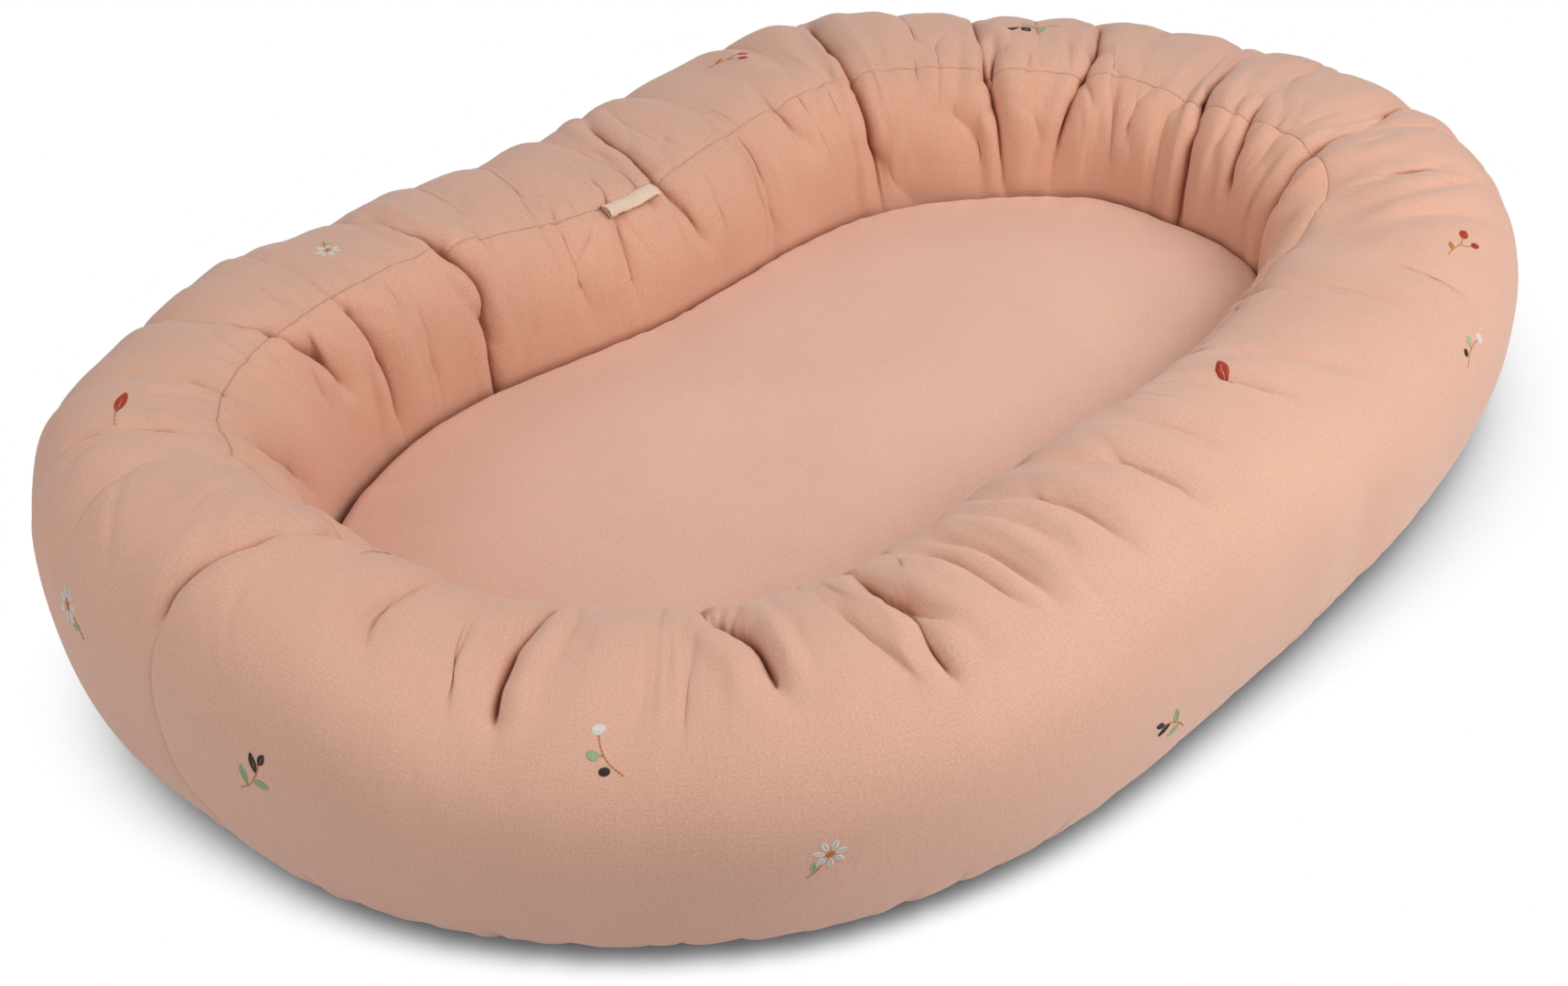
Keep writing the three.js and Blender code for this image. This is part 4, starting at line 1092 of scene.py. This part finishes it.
class SkinFinder:
    """Finds points on the finished bumper cloth by place and by distance from the outer hem."""

    def __init__(self, sheet):
        self.sheet = sheet
        points, rows = sheet.points, np.arange(sheet.run.shape[1])
        along = np.roll(points, -2, axis=0) - np.roll(points, 2, axis=0)
        down = points[:, np.minimum(rows + 2, rows[-1])] - points[:, np.maximum(rows - 2, 0)]
        self.normals = unit(np.cross(along, down))
        self.normals *= np.sign(dots(self.normals, sheet.normals).mean())

    def at(self, place, run):
        column = (place % 1) * COLUMNS
        i = int(column)
        found = []
        for k in (i % COLUMNS, (i + 1) % COLUMNS):
            runs = self.sheet.run[k]
            j = int(np.clip(np.searchsorted(runs, run) - 1, 0, len(runs) - 2))
            v = np.clip((run - runs[j]) / (runs[j + 1] - runs[j]), 0, 1)
            found.append([grid[k, j] * (1 - v) + grid[k, j + 1] * v
                          for grid in (self.sheet.points, self.normals)])
        w = column - i
        point, normal = (a * (1 - w) + b * w for a, b in zip(*found))
        return point, unit(normal)


def make_label(finder):
    """The blank label: a folded loop of tape whose long edge is held in the seam."""
    profile = curve_through(LABEL_PROFILE, 30) * MM
    side = right_of(np.gradient(profile, axis=0)) * LABEL_TAPE / 2
    outline = np.vstack([profile + side, (profile - side)[::-1]])
    places = np.linspace(*LABEL_PLACES, 25)
    points = []
    for share, place, seam in zip(np.linspace(0, 1, 25), places, run_of(seam_turn(places))):
        near, far = (sum(finder.at(place + shift, seam + below)[0] for shift in (-0.004, 0, 0.004)) / 3
                     for below in (1 * MM, 12 * MM))
        down = unit(far - near)
        outward = np.append(-loop.outward(np.array(place)), 0.35)
        outward = unit(outward - down * (outward @ down))
        wave = 0.3 * MM * math.sin(9 * share) + 1.2 * MM + 4 * MM * (1 - share) ** 4
        sag, puff = 1 + 0.04 * math.sin(5 * share + 1), 0.8 + 0.7 * share
        points.append([near + down * d * sag + outward * (o * puff + wave) for d, o in outline])
    return tube_mesh("blank_label", np.array(points))


def turned(point, angle, x=0, y=0):
    c, s = math.cos(angle), math.sin(angle)
    return x + c * point[0] - s * point[1], y + s * point[0] + c * point[1]


def oval(x, y, wide, tall, tilt=0.0):
    """Satin stitches side by side across an oval. A stitch is the x and y of both its ends."""
    steps = max(3, int(wide / STITCH_STEP))
    rows = []
    for s in -1 + 2 * (np.arange(steps) + 0.5) / steps:
        reach = tall / 2 * math.sqrt(1 - s * s)
        for way in (-1, 1):
            rows.append(turned((s * wide / 2 + way * 0.18 * reach, way * reach), tilt, x, y))
    return rows


def leaf(x, y, length, wide, tilt):
    """A leaf of slanting stitches that meet on its middle rib."""
    steps = max(4, int(length / (1.15 * STITCH_STEP)))
    rows = []
    for s in (np.arange(steps) + 0.5) / steps:
        half = wide / 2 * math.sin(math.pi * s ** 0.8)
        for side in (-1, 1):
            rows.append(turned((length * min(1, s + 0.12), side * half), tilt, x, y))
            rows.append(turned((length * s, 0), tilt, x, y))
    return rows


def stem(*points):
    """Short stitches along a line."""
    line = curve_through(points, 40)
    run = run_along(line)
    at = np.linspace(0, run[-1], max(2, int(run[-1] / STEM_STITCH)) + 1)
    spots = np.stack([np.interp(at, run, line[:, 0]), np.interp(at, run, line[:, 1])], axis=-1)
    return np.stack([spots[:-1], spots[1:]], axis=1)


DESIGNS = {
    "berries": [("ochre", stem((-13, -3), (-6, -1), (1, 0), (6, 2.5))),
                ("ochre", stem((-1, 0), (3, -3), (6, -4))),
                ("rust", oval(9.2, 4.2, 6.4, 6.4, 0.3)), ("rust", oval(9, -4.6, 5.2, 5.2, -0.4)),
                ("ochre", leaf(-8, -1.5, 7, 3.2, 0.9))],
    "twig": [("ochre", stem((-13, 2), (-5, 0), (4, 0.5), (9, 2))), ("mint", leaf(-7, 0.6, 8.5, 4.2, 0.8)),
             ("mint", leaf(-2, 0, 8.5, 4.2, -0.75)), ("dark", leaf(3.5, 0.6, 8, 4, 0.85)),
             ("dark", leaf(8, 1.8, 6.5, 3.2, 0.1))],
    "daisy": [("white", leaf(*turned((1.8, 0), a), 5.4, 3, a)) for a in np.arange(7) * TURN / 7] + [
        ("ochre", oval(0, 0, 3.8, 3.8)), ("ochre", stem((-4, -4), (-8, -7), (-12, -8.5))),
        ("mint", leaf(-8.5, -7.2, 6, 2.8, 1.3))],
    "leaf": [("rust", leaf(-5, -1, 16, 7, 0.12)), ("ochre", stem((-12.5, -2.5), (-8, -1.6), (-4, -1)))],
    "buds": [("ochre", stem((-12, -2), (-4, 0), (3, -1), (8, -3))), ("white", oval(10, -4, 5, 6.4, 0.8)),
             ("mint", oval(1.5, 3.4, 4.4, 6, -0.5)), ("ochre", stem((-1, 0), (0.5, 1.4))),
             ("dark", oval(-6.5, 3, 3.8, 5, 0.4))],
}


def stitch(finder, place, run, shares_a_metre, a, b, size=1.0):
    """One thread from a to b, in millimetres round a spot on the cloth."""
    a, b = np.array(a) * MM, np.array(b) * MM
    spots = [a + (b - a) * share for share in STITCH_STATIONS]
    line, normals = np.swapaxes([finder.at(place + x * shares_a_metre, run + y) for x, y in spots], 0, 1)
    lift = (STITCH_LIFTS * MM * size)[:, None]
    way = line[-1] - line[0]
    beside = np.cross(normals, way / (lengths(way) + 1e-9))
    beside *= (STITCH_WIDTHS * THREAD_WIDTH / 2 * size)[:, None] / (lengths(beside)[:, None] + 1e-9)
    top, low, under = (line + normals * (lift + rise * MM * size) for rise in (0.1, -0.22, -0.45))
    return np.stack([low + beside, top, low - beside, under], axis=1)


def make_embroidery(finder):
    """Every motif's stitches as small raised threads on the cloth, gathered by colour."""
    threads = {}
    for design, place, turn, angle in MOTIFS:
        run = run_of(turn)
        metric = 0.008 / lengths(finder.at(place + 0.004, run)[0] - finder.at(place - 0.004, run)[0])
        for color, stitches in DESIGNS[design]:
            for pair in np.reshape(stitches, (-1, 2, 2)) * MOTIF_SCALE:
                a, b = (turned(end, angle) for end in pair)
                threads.setdefault(color, []).append(stitch(finder, place, run, metric, a, b))
    return threads


def seam_stitches(finder):
    """A row of short stitches over the cross seam, from the foot up to the long seam."""
    start, end = run_of(OUTER_HEM) + 12 * MM, run_of(CROSS_SEAM[-2][0]) - 2 * MM
    a, b = [(column * loop.length / COLUMNS / MM, 0) for column in SEAM_STITCH_COLUMNS]
    place = finder.sheet.cross_column / COLUMNS
    return [stitch(finder, place, run, 1 / loop.length, a, b, 0.5)
            for run in np.arange(start, end, SEAM_STITCH_PITCH)]


def thread_mesh(name, stitches):
    """All stitches of one colour as one object of many small closed threads."""
    blocks = np.array(stitches)
    count, stations, corners = blocks.shape[:3]
    side = grid_corners(stations, corners, endless=False)[2][:, [3, 0, 1, 2]]
    one = np.vstack([side, [range(corners), np.arange(corners)[::-1] + (stations - 1) * corners]])
    faces = (one[None] + (np.arange(count) * stations * corners)[:, None, None]).reshape(-1, 4)
    uv = np.stack([one // corners * MM, one % corners * THREAD_WIDTH], axis=-1)
    return new_mesh(name, blocks.reshape(-1, 3), [faces], [np.tile(uv, (count, 1, 1))])


class Nodes:
    """The nodes of a material or the world. A call adds one and gives back one of its outputs."""

    def __init__(self, owner):
        owner.use_nodes = True
        self.tree = owner.node_tree

    def __call__(self, kind, output, inputs, **settings):
        node = self.tree.nodes.new("ShaderNode" + kind)
        for name, value in settings.items():
            setattr(node, name, value)
        self.fill(node, inputs)
        return node.outputs[output]

    def fill(self, node, inputs):
        """Links inputs to outputs of other nodes, or sets them to plain values."""
        for name, value in inputs.items():
            if isinstance(value, bpy.types.NodeSocket):
                self.tree.links.new(value, node.inputs[name])
            else:
                node.inputs[name].default_value = value

    def fill_own(self, name, inputs):
        self.fill(self.tree.nodes[name], inputs)

    def ramp(self, factor, stops):
        """A blend of colours, given as positions and colours."""
        node = self.tree.nodes.new("ShaderNodeValToRGB")
        elements = node.color_ramp.elements
        for _ in stops[2:]:
            elements.new(0.5)
        for element, (position, color) in zip(elements, stops):
            element.position = position
            element.color = color
        self.fill(node, {"Fac": factor})
        return node.outputs["Color"]

    def math(self, operation, *values):
        return self("Math", "Value", dict(enumerate(values)), operation=operation)

    def weave(self):
        return self("UVMap", "UV", {}, uv_map="Weave")

    def bump(self, height, strength, distance):
        return self("Bump", "Normal", {"Height": height, "Strength": strength, "Distance": distance})

    def seen_directly(self):
        """1 for rays by which the camera sees a thing, also by way of metal or glass; 0 for light."""
        rays = self.tree.nodes.new("ShaderNodeLightPath").outputs
        seen = self.math("MAXIMUM", rays["Is Camera Ray"], rays["Is Glossy Ray"])
        return self.math("MAXIMUM", seen, rays["Is Transmission Ray"])

    def with_painted_crease_shade(self, color):
        """A cloth's colour with painted shade: darker inside its creases and where it meets its neighbours.
        """
        open_sky = self("AmbientOcclusion", "AO", {"Distance": CREASE_REACH, "Color": WHITE}, samples=8)
        level = self("MapRange", "Result", {"Value": open_sky, "From Min": 0.1, "From Max": 0.7})
        crease_shade = self.ramp(level, [(0, CREASE_PAINTED_SHADE), (1, WHITE)])
        inputs = {MIX_FACTOR: 1, MIX_FIRST: color, MIX_SECOND: crease_shade}
        return self("Mix", MIX_RESULT, inputs, data_type="RGBA", blend_type="MULTIPLY")


def shade(base, share):
    return (*(min(1, part * share) for part in base), 1)


def principled(name, base, roughness, sheen=0.0):
    material = bpy.data.materials.new(name)
    nodes = Nodes(material)
    nodes.fill_own("Principled BSDF", {"Base Color": (*base, 1), "Roughness": roughness,
                                       "Sheen Weight": sheen, "Sheen Roughness": 0.5,
                                       "Specular IOR Level": 0.25})
    return material, nodes


def cotton_material(name, base):
    """Plain woven cotton: threads both ways, slubs, mottled dye, a soft sheen and painted shade in its
    creases.
    """
    material, nodes = principled(name, base, 0.9, 0.25)
    uv = nodes.weave()

    def noise(scale, detail, stretch=(1, 1, 1)):
        place = nodes("Mapping", "Vector", {"Vector": uv, "Scale": stretch})
        return nodes("TexNoise", "Fac", {"Vector": place, "Scale": scale, "Detail": detail})

    def threads(direction):
        return nodes("TexWave", "Fac", {"Vector": uv, "Scale": 560, "Distortion": 1.2, "Detail": 1,
                                        "Detail Scale": 2}, bands_direction=direction)

    def blend(*parts):
        total = 0
        for texture, weight in parts:
            total = nodes.math("MULTIPLY_ADD", texture, weight, total)
        return total

    weave = nodes.math("MULTIPLY", threads("X"), threads("Y"))
    slub = nodes.math("ADD", noise(60, 2, (1, 14, 1)), noise(60, 2, (14, 1, 1)))
    grain, cloud = noise(900, 2), noise(9, 3)
    height = blend((weave, 0.4), (grain, 1), (slub, 0.5))
    tone = blend((slub, 0.12), (grain, 0.62), (cloud, 0.3), (weave, 0.06))
    color = nodes.ramp(tone, [(0.38, shade(base, 0.84)), (0.82, shade(base, 1.14))])
    # The base colour gets painted shade in creases and where the cloth meets its neighbours
    nodes.fill_own("Principled BSDF", {"Normal": nodes.bump(height, 0.3, 0.5 * MM),
                                       "Base Color": nodes.with_painted_crease_shade(color)})
    return material


def thread_material(name, base):
    """Shiny embroidery thread with a fine twist."""
    material, nodes = principled(name, base, 0.5, 0.05)
    twist = nodes("TexWave", "Fac", {"Vector": nodes.weave(), "Scale": 700}, bands_direction="DIAGONAL")
    color = nodes.ramp(twist, [(0, shade(base, 0.72)), (1, shade(base, 1.2))])
    nodes.fill_own("Principled BSDF", {"Specular IOR Level": 0.3, "Base Color": color,
                                       "Normal": nodes.bump(twist, 0.4, 0.15 * MM)})
    return material


def metal_material(name, base):
    """Plated zip metal with fine scratches and slight wear."""
    material, nodes = principled(name, base, 0.32)
    place = nodes("TexCoord", "Object", {})
    place = nodes("Mapping", "Vector", {"Vector": place, "Scale": (300, 4000, 4000)})
    scratch = nodes("TexNoise", "Fac", {"Vector": place, "Scale": 1, "Detail": 4})
    rough = nodes("MapRange", "Result", {"Value": scratch, "To Min": 0.22, "To Max": 0.5})
    nodes.fill_own("Principled BSDF", {"Metallic": 1, "Roughness": rough,
                                       "Normal": nodes.bump(scratch, 0.2, 0.05 * MM)})
    return material


def floor_material():
    """Plain floor for light; the camera sees it glowing white, with a painted neutral shadow round
    the object's foot, greyer where less open sky is over a spot."""
    material = bpy.data.materials.new("Pale floor")
    nodes = Nodes(material)
    nodes.tree.nodes.remove(nodes.tree.nodes["Principled BSDF"])
    diffuse = nodes("BsdfDiffuse", "BSDF", {"Color": FLOOR_COLOR})
    place = nodes("NewGeometry", "Position", {})
    along = nodes("VectorMath", "Value", {0: place, 1: SHADOW_AXIS}, operation="DOT_PRODUCT")
    away = nodes.math("ABSOLUTE", nodes.math("SUBTRACT", along, SHADOW_MIDDLE))
    reach = nodes.math("MULTIPLY_ADD", nodes.math("POWER", away, 3), SHADOW_GROWTH, SHADOW_REACH)
    # The camera sees painted shadow: a grey picked by how much open sky is over the spot
    open_sky = nodes("AmbientOcclusion", "AO", {"Distance": reach, "Color": WHITE}, samples=32)
    shadow = nodes.ramp(open_sky, [(share, (grey, grey, grey, 1)) for share, grey in FLOOR_PAINTED_SHADOW])
    seen = nodes("Emission", "Emission", {"Color": shadow})
    look = nodes("MixShader", "Shader", {"Fac": nodes.seen_directly(), 1: diffuse, 2: seen})
    nodes.fill_own("Material Output", {"Surface": look})
    return material


def dress(obj, material):
    obj.data.materials.clear()
    obj.data.materials.append(material)
    return obj


def add_bumper(sheet, cotton, wall_cotton_painted_bounce):
    outer = half_tube("bumper_outer_cover", sheet, slice(0, sheet.seam_row + 1), -0.08)
    inner = half_tube("bumper_inner_wall", sheet, slice(sheet.seam_row + 1, None), -0.1)
    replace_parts(dress(outer, cotton), "bumper_outer_panel", "bumper_filling")
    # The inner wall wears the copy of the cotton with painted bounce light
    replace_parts(dress(inner, wall_cotton_painted_bounce), "bumper_inner_panel")
    for obj in (outer, inner):
        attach(obj, "nest")


def add_mattress(cotton):
    pad = make_mattress()
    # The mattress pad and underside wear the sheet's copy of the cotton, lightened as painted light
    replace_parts(dress(pad, cotton), "mattress_top_panel", "mattress_core")
    underside = make_underside()
    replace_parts(dress(underside, cotton), "mattress_bottom_panel")
    for obj, fill in ((pad, 0.75), (underside, 0.1)):
        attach(obj, "mattress")


def add_base(cotton):
    base = make_base()
    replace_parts(dress(base, cotton), "base_panel", "base_lining")
    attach(base, "nest")


def add_zip(tape_look, coil_look, metal_look):
    for hand, side in (("left", 1), ("right", -1)):
        tape = tube_mesh("woven_tape_" + hand, tape_points(*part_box("zip_tape_" + hand)))
        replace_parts(dress(tape, tape_look), "zip_tape_" + hand)
        coil = tube_mesh("coil_teeth_" + hand, coil_points(*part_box("zip_coil_" + hand), side))
        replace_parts(dress(coil, coil_look), "zip_coil_" + hand)
        for obj, slot in ((tape, "zip_tape"), (coil, "zip_coil")):
            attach(obj, "mattress")
    for name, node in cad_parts.items():
        if name in METAL_NODES:
            dress(node, metal_look)


def add_label(finder, look):
    label = make_label(finder)
    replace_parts(dress(label, look), "side_label")
    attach(label, "nest")


def add_threads(finder):
    """The embroidery, a piece for each colour, and the stitches of the cross seam."""
    threads = make_embroidery(finder)
    pieces = [("embroidery_" + color, color, threads[color]) for color in threads]
    for name, color, stitches in pieces + [("seam_stitches", "seam", seam_stitches(finder))]:
        obj = thread_mesh(name, stitches)
        dress(obj, thread_material("Thread " + color, THREAD_COLORS[color]))
        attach(obj, "nest")


def add_floor():
    corners = [(0, 0), (1, 0), (1, 1), (0, 1)]
    points = [(FLOOR_SIZE * (x - 0.5), FLOOR_SIZE * (y - 0.5), FLOOR_LEVEL) for x, y in corners]
    floor = new_mesh("floor", points, [[(0, 1, 2, 3)]], [[corners]])
    dress(floor, floor_material())


def add_world():
    world = bpy.data.worlds.new("Studio")
    bpy.context.scene.world = world
    nodes = Nodes(world)
    seen = nodes.seen_directly()
    strength = nodes("MapRange", "Result", {"Value": seen, "To Min": WORLD_LIGHT, "To Max": 1})
    nodes.fill_own("Background", {"Color": WHITE, "Strength": strength})


def add_lamp(name, place, power):
    lamp = bpy.data.lights.new(name, "AREA")
    lamp.shape = "DISK"
    lamp.size = LAMP_SIZE
    lamp.energy = power
    add_object(name, lamp, place, LAMP_TARGET)


def add_camera():
    camera = bpy.data.cameras.new("Camera")
    camera.sensor_width = SENSOR_WIDTH
    camera.lens = FOCAL_PIXELS * SENSOR_WIDTH / PHOTO_WIDTH
    camera.shift_x = (PHOTO_WIDTH / 2 - PRINCIPAL_X) / PHOTO_WIDTH
    camera.shift_y = (PRINCIPAL_Y - PHOTO_HEIGHT / 2) / PHOTO_WIDTH
    bpy.context.scene.camera = add_object("Camera", camera, CAMERA_PLACE, CAMERA_TARGET)


add_camera()
add_world()
for lamp in LAMPS:
    add_lamp(*lamp)
add_floor()

cotton = cotton_material("Peach cotton", COTTON)
# Copies of the cotton with painted light: lighter for the sheet, deeper and redder for the wall as painted
# bounce
sheet_painted_light = cotton_material("Peach cotton sheet, painted light", SHEET_COTTON_PAINTED_LIGHT)
wall_painted_bounce = cotton_material("Peach cotton wall, painted bounce light", WALL_COTTON_PAINTED_BOUNCE)
sheet = make_skin()
finder = SkinFinder(sheet)
add_bumper(sheet, cotton, wall_painted_bounce)
add_mattress(sheet_painted_light)
add_base(cotton)
add_zip(cotton_material("Zip tape", ZIP_CLOTH), thread_material("Zip coil", ZIP_CLOTH),
        metal_material("Zip metal", ZIP_METAL))
add_label(finder, cotton_material("Label tape", LABEL_CLOTH))
add_threads(finder)

bpy.context.scene.view_settings.view_transform = "Standard"
